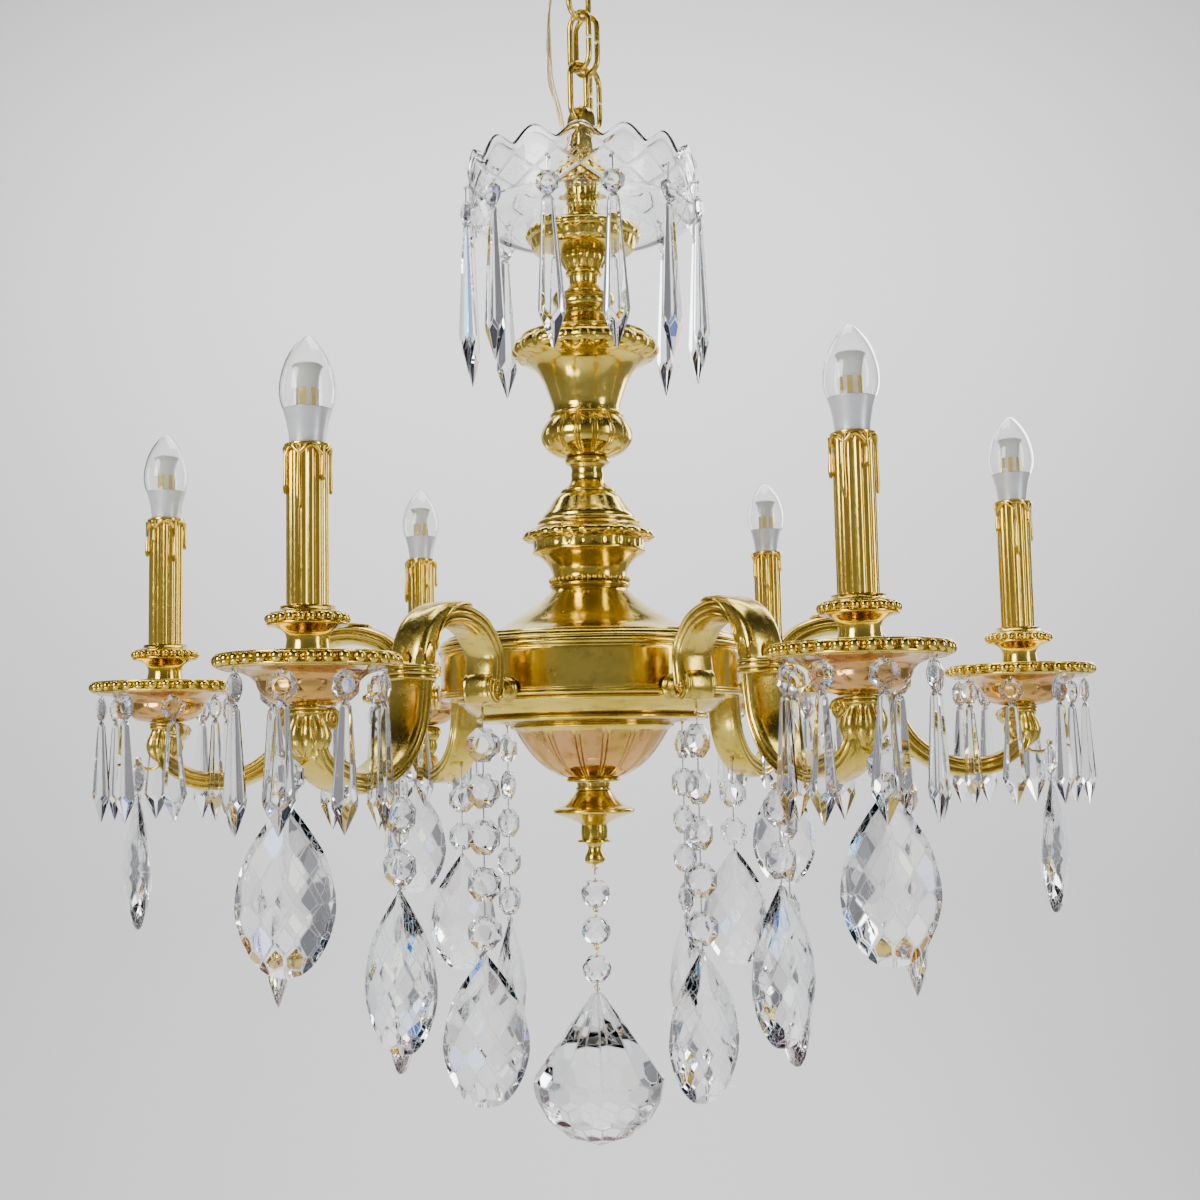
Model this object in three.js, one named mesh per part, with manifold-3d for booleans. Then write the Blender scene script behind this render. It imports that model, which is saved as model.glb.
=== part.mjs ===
// A six-arm brass chandelier with crystal drops, hung on a chain from a ceiling canopy.
// Millimetres, +Z up. The origin is the centre of the hook plate's top face, which meets the ceiling.
import * as THREE from 'three';
import { mergeVertices } from 'three/addons/utils/BufferGeometryUtils.js';
import Module from 'manifold-3d';

const wasm = await Module();
wasm.setup();

// ---------------------------------------------------------------- driving dimensions
const ARM_COUNT = 6;
const ARM_PLANE_DROP = 690; // from the ceiling down to the underside of the hub drum
const CANDLE_CIRCLE_R = 350;
const GAP = 0.3; // between pieces that rest on each other

// heights below are measured up from the underside of the hub drum
const ROD_R = 4.5;
const BORE_R = 5.2; // the hole for the tie rod through every piece of the column
const HUB_R = 124.5;
const HUB_TOP = 42;
const COVER_TOP = 95.4;
const MID_STEM_TOP = 185.7;
const VASE_TOP = 322;
const GALLERY_R = 48;
const GALLERY_TOP = 392;
const CROWN_R = 95;
const CROWN_RIM = 452;
const CROWN_GLASS = 4;
const SCALLOP_COUNT = 16;
const SCALLOP_DEPTH = 10;
const CAP_TOP = 456.7;
const FINIAL_TOP = -67.4;
const FINIAL_TIP = -133.5;

// suspension
const LOOP_CENTRE = 480;
const LOOP_HALF_HEIGHT = 17; // centreline of the cast loop
const LOOP_HALF_WIDTH = 9;
const LOOP_WIRE_R = 6;
const LINK_HALF_HEIGHT = 25.5; // centreline of a chain link
const LINK_HALF_WIDTH = 11.5;
const LINK_WIRE_R = 2.5;
const LINK_OPENING = 3; // the gap left in one leg of an open link
const HOOK_EYE_R = 9;
const FLEX_R = 2.5;
const PLATE_R = 42;
const PLATE_THICK = 4;
const CANOPY_R = 58;
const CANOPY_HOLE_R = 14;

// arms and candles
const BAND_WIDTH = 28; // the scroll's width across the arm
const BAND_THICK = 15; // and its thickness in the plane of the scroll
const COLLAR_R = 242; // from the column to the arm's outer leg
const PAN_R = 58.5;
const NIPPLE_R = 4.5;
const NIPPLE_BORE_R = 6;
const PAN_BOTTOM = -12;
const CUP_BOTTOM = -7.7;
const CUP_TOP = 51.5;
const SLEEVE_R = 13.5;
const SLEEVE_BORE_R = 12.2;
const SLEEVE_TOP = 155.7;
const HOLDER_R = 11.5;
const BULB_R = 18.5;
const BULB_BASE_R = 6.9;
const BULB_BASE_BOTTOM = 125;
const BULB_TIP = 227.5;

// crystals
const STRING_R = 157; // from the column to the inner pendant strings
const STRING_TOP = -12.8;
const BEAD_R = 12.5;
const BEAD_PITCH = 33.9;
const FIRST_BEAD = -37;
const BEADS_PER_STRING = 5;
const ALMOND_TOP = -187.5;
const ALMOND_LENGTH = 110;
const ALMOND_HALF_WIDTH = 32;
const CRYSTAL_FLATNESS = 0.3; // thickness over width of the strings' crystals
const ROUND_BEAD_R = 11.2;
const ROUND_BEADS = [-156.8, -186.3, -216.7];
const BALL_R = 52;
const BALL_CENTRE = -300;

// ---------------------------------------------------------------- finishes
const FINISHES = {
  brass: { color: 0xb8923a, roughness: 0.25, metalness: 1 },
  giltSleeve: { color: 0xc79a2e, roughness: 0.4, metalness: 1 },
  steel: { color: 0x9a9a98, roughness: 0.4, metalness: 1 },
  crystal: { color: 0xf2f5f7, roughness: 0.05, metalness: 0 },
  bulbGlass: { color: 0xeef0f0, roughness: 0.05, metalness: 0 },
  clearFlex: { color: 0xd8cfae, roughness: 0.35, metalness: 0 },
  holderPlastic: { color: 0xe6e2d6, roughness: 0.6, metalness: 0 },
};

function node(name, geometry, finish) {
  const mesh = new THREE.Mesh(geometry, new THREE.MeshStandardMaterial(FINISHES[finish]));
  mesh.name = name;
  return mesh;
}

// ---------------------------------------------------------------- geometry helpers
function signedVolume(position, triangles) {
  const a = new THREE.Vector3();
  const b = new THREE.Vector3();
  const c = new THREE.Vector3();
  let volume = 0;
  for (let i = 0; i < triangles.length; i += 3) {
    a.fromBufferAttribute(position, triangles[i]);
    b.fromBufferAttribute(position, triangles[i + 1]);
    c.fromBufferAttribute(position, triangles[i + 2]);
    volume += a.dot(b.cross(c)) / 6;
  }
  return volume;
}

// One welded surface with its faces pointing out and no collapsed triangles.
function welded(geometry) {
  const bare = geometry.clone();
  bare.deleteAttribute('normal');
  bare.deleteAttribute('uv');
  const merged = mergeVertices(bare, 1e-4);
  const index = merged.getIndex().array;
  const triangles = [];
  for (let i = 0; i < index.length; i += 3) {
    const [a, b, c] = [index[i], index[i + 1], index[i + 2]];
    if (a !== b && b !== c && c !== a) {
      triangles.push(a, b, c);
    }
  }
  if (signedVolume(merged.getAttribute('position'), triangles) < 0) {
    triangles.reverse();
  }
  const result = new THREE.BufferGeometry();
  result.setAttribute('position', merged.getAttribute('position'));
  result.setIndex(triangles);
  return result;
}

function solidOf(geometry) {
  const surface = welded(geometry);
  return new wasm.Manifold(new wasm.Mesh({
    numProp: 3,
    vertProperties: new Float32Array(surface.getAttribute('position').array),
    triVerts: new Uint32Array(surface.getIndex().array),
  }));
}

function joined(...geometries) {
  const solid = geometries.map(solidOf).reduce((sum, next) => sum.add(next));
  const mesh = solid.getMesh();
  const result = new THREE.BufferGeometry();
  result.setAttribute('position', new THREE.BufferAttribute(mesh.vertProperties, 3));
  result.setIndex(new THREE.BufferAttribute(mesh.triVerts, 1));
  return result;
}

// A body turned about Z from [radius, height] pairs. Both ends lie on the axis, or `bore` closes the outline.
function turned(outline, segments, bore = 0) {
  const points = outline.map(([r, z]) => new THREE.Vector2(r, z));
  if (bore > 0) {
    points.push(new THREE.Vector2(bore, outline[outline.length - 1][1]));
    points.push(new THREE.Vector2(bore, outline[0][1]));
    points.push(points[0].clone());
  }
  return welded(new THREE.LatheGeometry(points, segments).rotateX(Math.PI / 2));
}

// A closed ring section turned about Z.
function turnedRing(outline, segments) {
  const points = outline.map(([r, z]) => new THREE.Vector2(r, z));
  points.push(points[0].clone());
  return welded(new THREE.LatheGeometry(points, segments).rotateX(Math.PI / 2));
}

function swept(curve, halfWidth, halfHeight, sides, steps) {
  const section = new THREE.Shape();
  for (let i = 0; i < sides; i += 1) {
    const angle = (2 * Math.PI * (i + 0.5)) / sides;
    const x = halfWidth * Math.cos(angle);
    const y = halfHeight * Math.sin(angle);
    if (i === 0) {
      section.moveTo(x, y);
    } else {
      section.lineTo(x, y);
    }
  }
  section.closePath();
  return welded(new THREE.ExtrudeGeometry(section, { extrudePath: curve, steps, bevelEnabled: false }));
}

// An upright oval of wire in the XZ plane, its ends round. With an opening it is cut in one leg.
function ovalWire(halfWidth, halfHeight, wireR, opening, sides, steps) {
  const straight = halfHeight - halfWidth;
  class Oval extends THREE.Curve {
    getPoint(t, target = new THREE.Vector3()) {
      const around = 2 * Math.PI * halfWidth + 4 * straight;
      let s = opening / 2 + t * (around - opening);
      const arc = Math.PI * halfWidth;
      if (s <= straight) {
        return target.set(halfWidth, 0, s);
      }
      s -= straight;
      if (s <= arc) {
        const a = s / halfWidth;
        return target.set(halfWidth * Math.cos(a), 0, straight + halfWidth * Math.sin(a));
      }
      s -= arc;
      if (s <= 2 * straight) {
        return target.set(-halfWidth, 0, straight - s);
      }
      s -= 2 * straight;
      if (s <= arc) {
        const a = Math.PI + s / halfWidth;
        return target.set(halfWidth * Math.cos(a), 0, -straight + halfWidth * Math.sin(a));
      }
      s -= arc;
      return target.set(halfWidth, 0, -straight + s);
    }
  }
  return swept(new Oval(), wireR, wireR, sides, steps);
}

// ---------------------------------------------------------------- suspension
const linkPitch = 2 * LINK_HALF_HEIGHT - 2 * LINK_WIRE_R - GAP;
const lowerLinkZ = LOOP_CENTRE + LOOP_HALF_HEIGHT - LOOP_WIRE_R - LINK_WIRE_R - GAP + LINK_HALF_HEIGHT;
const hookEyeZ = lowerLinkZ + 2 * linkPitch + LINK_HALF_HEIGHT - 2 * LINK_WIRE_R - GAP + HOOK_EYE_R;

function hookPlate() {
  const plate = turned([
    [0, ARM_PLANE_DROP - PLATE_THICK], [PLATE_R, ARM_PLANE_DROP - PLATE_THICK],
    [PLATE_R, ARM_PLANE_DROP], [0, ARM_PLANE_DROP],
  ], 20);
  const eyeTop = hookEyeZ + HOOK_EYE_R;
  const stud = turned([
    [0, eyeTop - 1], [3.5, eyeTop - 1], [3.5, ARM_PLANE_DROP - 1], [0, ARM_PLANE_DROP - 1],
  ], 8);
  const eye = new THREE.TorusGeometry(HOOK_EYE_R, LINK_WIRE_R, 6, 14);
  eye.rotateX(Math.PI / 2);
  eye.rotateZ(-Math.PI / 4);
  eye.translate(0, 0, hookEyeZ);
  return joined(plate, stud, eye);
}

function canopy() {
  const rim = ARM_PLANE_DROP - GAP;
  return turnedRing([
    [CANOPY_HOLE_R, 645.5], [22, 645.5], [25, 650], [47, 660], [56, 672], [CANOPY_R, rim],
    [CANOPY_R - 1.6, rim], [54.4, 673], [46, 661.8], [24, 652], [CANOPY_HOLE_R, 649],
  ], 20);
}

function chainLink(order) {
  const link = ovalWire(LINK_HALF_WIDTH, LINK_HALF_HEIGHT, LINK_WIRE_R, LINK_OPENING, 6, 20);
  link.rotateZ(order % 2 === 0 ? Math.PI / 4 : -Math.PI / 4);
  link.translate(0, 0, lowerLinkZ + order * linkPitch);
  return link;
}

function hangingLoop() {
  const loop = ovalWire(LOOP_HALF_WIDTH, LOOP_HALF_HEIGHT, LOOP_WIRE_R, 0.5, 8, 20);
  loop.rotateZ(-Math.PI / 4);
  return loop.translate(0, 0, LOOP_CENTRE);
}

function supplyFlex() {
  const route = new THREE.CatmullRomCurve3([
    new THREE.Vector3(-9, 0, 676),
    new THREE.Vector3(-9, 0, 660),
    new THREE.Vector3(-10, 0, 643),
    new THREE.Vector3(-20, -2, 622),
    new THREE.Vector3(-25, -3, 590),
    new THREE.Vector3(-26, -3, 548),
    new THREE.Vector3(-25, -3, 524),
    new THREE.Vector3(-19, -2, 500),
    new THREE.Vector3(-15, -1, 480),
    new THREE.Vector3(-14, 0, 461),
  ]);
  return swept(route, FLEX_R, FLEX_R, 8, 30);
}

// ---------------------------------------------------------------- centre column
function tieRod() {
  return turned([[0, FINIAL_TOP + GAP], [ROD_R, FINIAL_TOP + GAP], [ROD_R, CAP_TOP], [0, CAP_TOP]], 12);
}

function crownCap() {
  const foot = GALLERY_TOP + CROWN_GLASS + 2 * GAP;
  return turned([
    [13, foot], [13, 403], [16, 407], [13, 411], [13, 424], [16, 427], [14, 430],
    [28, 433], [27, 437], [19, 445], [10, CAP_TOP],
  ], 16, BORE_R);
}

function glassCrown() {
  const floor = GALLERY_TOP + GAP;
  const wall = CROWN_GLASS;
  const glass = turnedRing([
    [14, floor], [46, floor], [90, floor + 4], [CROWN_R, floor + 11], [CROWN_R + 1, CROWN_RIM],
    [CROWN_R + 1 - wall, CROWN_RIM], [CROWN_R - wall, floor + 13], [87, floor + 4 + wall],
    [46, floor + wall], [14, floor + wall],
  ], 3 * SCALLOP_COUNT);
  const position = glass.getAttribute('position');
  for (let i = 0; i < position.count; i += 1) {
    if (position.getZ(i) > CROWN_RIM - 1) {
      const angle = Math.atan2(position.getY(i), position.getX(i));
      const drop = (SCALLOP_DEPTH * (1 - Math.cos(SCALLOP_COUNT * angle))) / 2;
      position.setZ(i, CROWN_RIM - drop);
    }
  }
  return glass;
}

function upperStem() {
  return turned([
    [24, VASE_TOP + GAP], [27, 329], [25, 334], [17, 337], [16, 341], [12.5, 346], [12.5, 353], [15.7, 359.5],
    [19, 367], [19, 373], [44, 381], [GALLERY_R, 386], [GALLERY_R, GALLERY_TOP],
  ], 16, BORE_R);
}

function vase() {
  return turned([
    [14, MID_STEM_TOP + GAP], [17.8, 197], [18.6, 200], [31, 206], [37.9, 216], [36, 226], [29.7, 234],
    [28.9, 238], [32, 253], [43.4, 276.5], [58, 284], [61.7, 290.5], [58, 298],
    [44, 309], [24, VASE_TOP],
  ], 18, BORE_R);
}

function midStem() {
  return turned([
    [33.3, COVER_TOP + GAP], [30.7, 101.7], [33.7, 110], [39.9, 117], [46.5, 121.3], [46.5, 130.4],
    [54.4, 133], [41.5, 144], [32.7, 156], [27.6, 165.5], [20, 173], [14, MID_STEM_TOP],
  ], 18, BORE_R);
}

function hubCover() {
  const foot = HUB_TOP + GAP;
  return turnedRing([
    [BORE_R, 91], [27, 91], [31, 83], [43, 73.5], [59, 64], [74, 55], [118, 45.5], [119, foot],
    [123, foot], [121, 48], [75.7, 57.6], [61.2, 67], [45, 76.6], [33.7, 86],
    [30.2, 91.6], [33.3, COVER_TOP], [BORE_R, COVER_TOP],
  ], 20);
}

function hubDrum() {
  const wall = 4;
  return turnedRing([
    [BORE_R, 0.2], [HUB_R, 0.2], [HUB_R, HUB_TOP], [HUB_R - wall, HUB_TOP],
    [HUB_R - wall, wall], [BORE_R, wall],
  ], 30);
}

function bowl() {
  const top = -GAP + 0.2;
  return turnedRing([
    [BORE_R, FINIAL_TOP + GAP], [21, FINIAL_TOP + GAP], [38.8, -55], [56.6, -36],
    [69.7, -23], [93, -17.6], [104.7, -6.4], [113, top],
    [108, top], [103, -3.8], [91.5, -14.8], [68, -20.4], [54.6, -34.4],
    [37.5, -52.6], [20, FINIAL_TOP + 3], [BORE_R, FINIAL_TOP + 3],
  ], 20);
}

function finial() {
  return turned([
    [0, FINIAL_TIP], [2.4, -133], [7.7, -128], [6, -122], [11.2, -112], [7.5, -105], [9.8, -101],
    [23.7, -94], [33.5, -90.5], [33.5, -88], [13.7, -74], [13.7, FINIAL_TOP], [0, FINIAL_TOP],
  ], 16);
}

// Round beads on a wire with the faceted ball below them.
function ballPendant() {
  const wire = 0.9;
  const outline = [[0, BALL_CENTRE - BALL_R + 1], [9, BALL_CENTRE - BALL_R + 3]];
  for (const angle of [-60, -35, -10, 15, 40, 62]) {
    const a = THREE.MathUtils.degToRad(angle);
    outline.push([BALL_R * Math.cos(a), BALL_CENTRE + BALL_R * Math.sin(a)]);
  }
  outline.push([6.5, BALL_CENTRE + 63]);
  for (const bead of [...ROUND_BEADS].reverse()) {
    outline.push([wire, bead - ROUND_BEAD_R - 1]);
    outline.push([ROUND_BEAD_R, bead - ROUND_BEAD_R * 0.3]);
    outline.push([ROUND_BEAD_R, bead + ROUND_BEAD_R * 0.3]);
    outline.push([wire, bead + ROUND_BEAD_R + 1]);
  }
  outline.push([wire, FINIAL_TIP - 1], [0, FINIAL_TIP - 0.6]);
  return turned(outline, 12);
}

// ---------------------------------------------------------------- one arm, along +X
function scrollArm() {
  const path = new THREE.CatmullRomCurve3([
    [155, 4], [153, 28], [166, 46], [182, 54], [200, 56.5], [218, 53], [232, 43], [240, 28],
    [COLLAR_R, 12], [244, -6], [248, -24], [257, -39], [271, -51], [288, -58.5], [306, -61.5],
    [324, -59], [339, -52], [348, -42], [CANDLE_CIRCLE_R, -28],
  ].map(([r, z]) => new THREE.Vector3(r, 0, z)));
  const band = swept(path, BAND_WIDTH / 2, BAND_THICK / 2, 8, 20);
  const innerVolute = new THREE.CylinderGeometry(14, 14, BAND_WIDTH + 2, 8).translate(160, 0, 2);
  const outerVolute = new THREE.CylinderGeometry(11, 11, BAND_WIDTH, 8).translate(352, 0, -29);
  const bossLength = 28;
  const boss = new THREE.CylinderGeometry(9, 14, bossLength, 8).rotateZ(-Math.PI / 2);
  boss.translate(HUB_R + GAP + bossLength / 2, 0, 4);
  const collar = turned([[0, 8], [17, 8], [17, 18], [0, 18]], 8);
  collar.translate(COLLAR_R, 0, 0);
  const stem = turned([
    [0, -36], [12, -30], [12, PAN_BOTTOM - GAP], [NIPPLE_R, PAN_BOTTOM - GAP],
    [NIPPLE_R, CUP_TOP - 0.5], [0, CUP_TOP - 0.5],
  ], 8);
  stem.translate(CANDLE_CIRCLE_R, 0, 0);
  return joined(band, innerVolute, outerVolute, boss, collar, stem);
}

function dripPan() {
  return turned([
    [14, PAN_BOTTOM], [30, -8], [55, 9], [PAN_R, 13], [PAN_R, 18],
    [53, 18.5], [31, -3], [21, -8],
  ], 16, NIPPLE_BORE_R);
}

function candleCup() {
  return turned([
    [20, CUP_BOTTOM], [14, 8], [14, 31], [26.2, 40], [26.2, 46], [18, CUP_TOP],
  ], 12, NIPPLE_BORE_R);
}

function lampholder() {
  const foot = CUP_TOP + GAP;
  const mouth = SLEEVE_TOP - 2.5;
  return turned([
    [0, foot], [HOLDER_R, foot], [HOLDER_R, mouth], [8.2, mouth], [8.2, 122], [0, 122],
  ], 10);
}

function candleSleeve() {
  const foot = CUP_TOP + GAP;
  return turnedRing([
    [SLEEVE_BORE_R, foot], [SLEEVE_R, foot], [SLEEVE_R, 138], [15.2, 142],
    [15.2, SLEEVE_TOP], [SLEEVE_BORE_R, SLEEVE_TOP],
  ], 14);
}

function bulb() {
  const collar = SLEEVE_TOP + GAP;
  return turned([
    [0, BULB_BASE_BOTTOM], [BULB_BASE_R, BULB_BASE_BOTTOM], [BULB_BASE_R, collar], [11.7, collar],
    [16, 180], [BULB_R, 190], [15.4, 208], [10, 219], [0, BULB_TIP],
  ], 12);
}

// Flat octagon beads pinned one below the other, with an almond drop at the end.
function innerPendant() {
  const pin = 1.2;
  const outline = [[0, ALMOND_TOP - ALMOND_LENGTH]];
  for (const [width, down] of [[0.75, 0.84], [1, 0.6], [0.85, 0.33]]) {
    outline.push([ALMOND_HALF_WIDTH * width, ALMOND_TOP - ALMOND_LENGTH * down]);
  }
  outline.push([pin, ALMOND_TOP]);
  for (let i = BEADS_PER_STRING - 1; i >= 0; i -= 1) {
    const middle = FIRST_BEAD - i * BEAD_PITCH;
    outline.push([pin, middle - BEAD_R - 1]);
    outline.push([BEAD_R, middle]);
    outline.push([pin, middle + BEAD_R + 1]);
  }
  outline.push([pin, STRING_TOP - 0.4], [0, STRING_TOP]);
  const string = turned(outline, 8);
  string.scale(CRYSTAL_FLATNESS, 1, 1);
  return string.translate(STRING_R, 0, 0);
}

// ---------------------------------------------------------------- assembly
const fixture = new THREE.Group();
fixture.position.z = -ARM_PLANE_DROP;
fixture.add(
  node('hook_plate', hookPlate(), 'steel'),
  node('canopy', canopy(), 'brass'),
  node('chain_link_upper', chainLink(2), 'brass'),
  node('chain_link_middle', chainLink(1), 'brass'),
  node('chain_link_lower', chainLink(0), 'brass'),
  node('supply_flex', supplyFlex(), 'clearFlex'),
  node('hanging_loop', hangingLoop(), 'brass'),
  node('tie_rod', tieRod(), 'steel'),
  node('crown_cap', crownCap(), 'brass'),
  node('glass_crown', glassCrown(), 'crystal'),
  node('upper_stem', upperStem(), 'brass'),
  node('vase', vase(), 'brass'),
  node('middle_stem', midStem(), 'brass'),
  node('hub_cover', hubCover(), 'brass'),
  node('hub_drum', hubDrum(), 'brass'),
  node('hub_bowl', bowl(), 'brass'),
  node('finial', finial(), 'brass'),
  node('ball_pendant', ballPendant(), 'crystal'),
);

const onCandleCircle = (geometry) => geometry.translate(CANDLE_CIRCLE_R, 0, 0);
for (let i = 0; i < ARM_COUNT; i += 1) {
  const spoke = new THREE.Group();
  spoke.rotation.z = (i * 2 * Math.PI) / ARM_COUNT;
  const number = i + 1;
  spoke.add(
    node(`arm_${number}`, scrollArm(), 'brass'),
    node(`drip_pan_${number}`, onCandleCircle(dripPan()), 'brass'),
    node(`candle_cup_${number}`, onCandleCircle(candleCup()), 'brass'),
    node(`lampholder_${number}`, onCandleCircle(lampholder()), 'holderPlastic'),
    node(`candle_sleeve_${number}`, onCandleCircle(candleSleeve()), 'giltSleeve'),
    node(`bulb_${number}`, onCandleCircle(bulb()), 'bulbGlass'),
    node(`inner_pendant_${number}`, innerPendant(), 'crystal'),
  );
  fixture.add(spoke);
}

const chandelier = new THREE.Group();
chandelier.add(fixture);

export default chandelier;
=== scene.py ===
"""A six-arm brass chandelier with crystal drops: the visual model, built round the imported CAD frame.

Shapes are worked out in millimetres: x and y from the column's axis, and z up from the underside of the
hub drum. Finished meshes are in metres, in the CAD frame.
"""

import math
import random

import bmesh
import bpy
import numpy as np
from mathutils import Matrix, Vector


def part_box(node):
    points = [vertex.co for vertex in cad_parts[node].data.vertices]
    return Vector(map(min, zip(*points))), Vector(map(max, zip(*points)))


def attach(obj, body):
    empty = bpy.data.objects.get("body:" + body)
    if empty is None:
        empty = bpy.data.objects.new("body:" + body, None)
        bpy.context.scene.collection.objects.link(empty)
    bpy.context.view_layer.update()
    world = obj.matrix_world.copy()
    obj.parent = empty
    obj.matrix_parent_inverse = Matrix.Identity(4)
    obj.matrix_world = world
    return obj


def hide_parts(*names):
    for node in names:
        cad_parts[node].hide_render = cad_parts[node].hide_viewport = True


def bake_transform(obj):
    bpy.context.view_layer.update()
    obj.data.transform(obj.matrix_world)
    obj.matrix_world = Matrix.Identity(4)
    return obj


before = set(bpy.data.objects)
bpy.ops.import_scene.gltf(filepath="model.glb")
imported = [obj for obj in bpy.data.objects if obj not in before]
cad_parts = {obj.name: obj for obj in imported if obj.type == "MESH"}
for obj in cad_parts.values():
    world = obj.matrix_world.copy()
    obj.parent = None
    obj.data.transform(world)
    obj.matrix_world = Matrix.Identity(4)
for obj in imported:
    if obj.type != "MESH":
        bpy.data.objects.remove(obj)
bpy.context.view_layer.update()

MM = 0.001
WELD = 0.004  # points of a piece closer than this, in millimetres, become one
DRUM_FLOOR = 0.2  # where the drum's CAD solid starts, above the hub's underside
HUB_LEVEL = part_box("hub_drum")[0].z - DRUM_FLOOR * MM
ARM_COUNT = 6
CANDLE_R = 350.0  # from the column to each candle
chance = random.Random(11)


# ---------------------------------------------------------------- parts of a mesh
class Part:
    """Points in millimetres and faces, with each face's material number and whether it shades smooth."""

    def __init__(self, points, faces, kinds=0, smooth=True):
        self.points = np.asarray(points, float).reshape(-1, 3)
        self.faces = faces
        self.kinds = np.broadcast_to(kinds, len(faces))
        self.smooth = np.broadcast_to(smooth, len(faces))

    def through(self, matrix):
        matrix = np.array(matrix)
        points = self.points @ matrix[:3, :3].T + matrix[:3, 3]
        return Part(points, self.faces, self.kinds, self.smooth)

    def moved(self, x=0.0, y=0.0, z=0.0):
        return self.through(Matrix.Translation((x, y, z)))

    def spun(self, degrees, axis="Z"):
        return self.through(Matrix.Rotation(math.radians(degrees), 4, axis))

    def scaled(self, x, y, z):
        return Part(self.points * (x, y, z), self.faces, self.kinds, self.smooth)

    def of(self, kind):
        return Part(self.points, self.faces, kind, self.smooth)


def joined(parts):
    points = []
    faces = []
    kinds = []
    smooth = []
    count = 0
    for part in parts:
        points.append(part.points)
        faces.extend([tuple(i + count for i in face) for face in part.faces])
        kinds.append(part.kinds)
        smooth.append(part.smooth)
        count += len(part.points)
    return Part(np.concatenate(points), faces, np.concatenate(kinds), np.concatenate(smooth))


def around(part, count, start=0.0):
    """Copies of a part, evenly round the Z axis."""
    return joined([part.spun(start + i * 360 / count) for i in range(count)])


def piece(name, parts, materials, body, replaces=(), crease=38):
    """One Blender object from parts, welded, in metres, riding on a body unless body is None."""
    whole = joined(parts if isinstance(parts, list) else [parts])
    points = whole.points * MM
    points[:, 2] += HUB_LEVEL
    mesh = bpy.data.meshes.new(name)
    mesh.from_pydata(points.tolist(), [], whole.faces)
    mesh.polygons.foreach_set("material_index", whole.kinds.astype(np.int32))
    mesh.polygons.foreach_set("use_smooth", whole.smooth.astype(bool))
    bm = bmesh.new()
    bm.from_mesh(mesh)
    bmesh.ops.remove_doubles(bm, verts=bm.verts, dist=WELD * MM)
    bmesh.ops.recalc_face_normals(bm, faces=bm.faces)
    bm.to_mesh(mesh)
    bm.free()
    # set_sharp_from_angle makes every face smooth, so the flat faces of cut stones are put back after it
    rounded = np.empty(len(mesh.polygons), bool)
    mesh.polygons.foreach_get("use_smooth", rounded)
    mesh.set_sharp_from_angle(angle=math.radians(crease))
    mesh.polygons.foreach_set("use_smooth", rounded)
    for material in materials:
        mesh.materials.append(material)
    thing = bpy.data.objects.new(name, mesh)
    bpy.context.scene.collection.objects.link(thing)
    if body:
        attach(thing, body)
    if replaces:
        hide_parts(*replaces)
    return thing


# ---------------------------------------------------------------- lines and outlines
def smooth(points, steps):
    """A Catmull-Rom line through the points, with `steps` pieces between each two."""
    p = np.asarray(points, float)
    ends = np.vstack([2 * p[0] - p[1], p, 2 * p[-1] - p[-2]])
    t = (np.arange(steps) / steps)[:, None]
    line = []
    for i in range(len(p) - 1):
        a, b, c, d = ends[i:i + 4]
        line.append(0.5 * (2 * b + (c - a) * t + (2 * a - 5 * b + 4 * c - d) * t ** 2
                           + (3 * b - a - 3 * c + d) * t ** 3))
    line.append(p[-1:])
    return np.vstack(line)


def wrapped(phase):
    """The same angle between minus and plus half a turn."""
    return np.angle(np.exp(1j * phase))


CUTS = {
    "gadroon": lambda phase: np.abs(np.cos(phase / 2)) - 1,  # round lobes, sharp valleys
    "flute": lambda phase: -np.abs(np.cos(phase / 2)),  # round hollows, sharp ridges
    "panel": lambda phase: -np.exp(-((np.abs(wrapped(phase)) - 2.6) / 0.26) ** 2),  # grooves in pairs
}


class Outline:
    """A lathe outline from the bottom up, run by run. A run may be cut into lobes round the axis."""

    def __init__(self):
        self.rows = []

    def run(self, *points, steps=1, lobes=0, depth=0.0, cut="gadroon", fade=True, kind=0):
        line = smooth(points, steps)
        for i, (radius, height) in enumerate(line):
            weight = math.sin(math.pi * i / (len(line) - 1)) ** 0.6 if fade else 1.0
            self.rows.append((radius, height, lobes, depth * weight, cut, kind))
        return self

    def ring(self, radius, low, high, kind=0):
        """A small half-round moulding that stands out from `radius`."""
        middle = (low + high) / 2
        bulge = (high - low) / 2
        arc = [(radius + bulge * math.cos(a), middle + bulge * math.sin(a))
               for a in np.linspace(-math.pi / 2, math.pi / 2, 7)]
        return self.run(*arc, kind=kind)


def grid_faces(rows, columns, closed_rows=False, closed_columns=True):
    """Four-sided faces between neighbouring rows of points."""
    faces = []
    for i in range(rows if closed_rows else rows - 1):
        low = i * columns
        high = ((i + 1) % rows) * columns
        for j in range(columns if closed_columns else columns - 1):
            k = (j + 1) % columns
            faces.append((low + j, low + k, high + k, high + j))
    return faces


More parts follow.
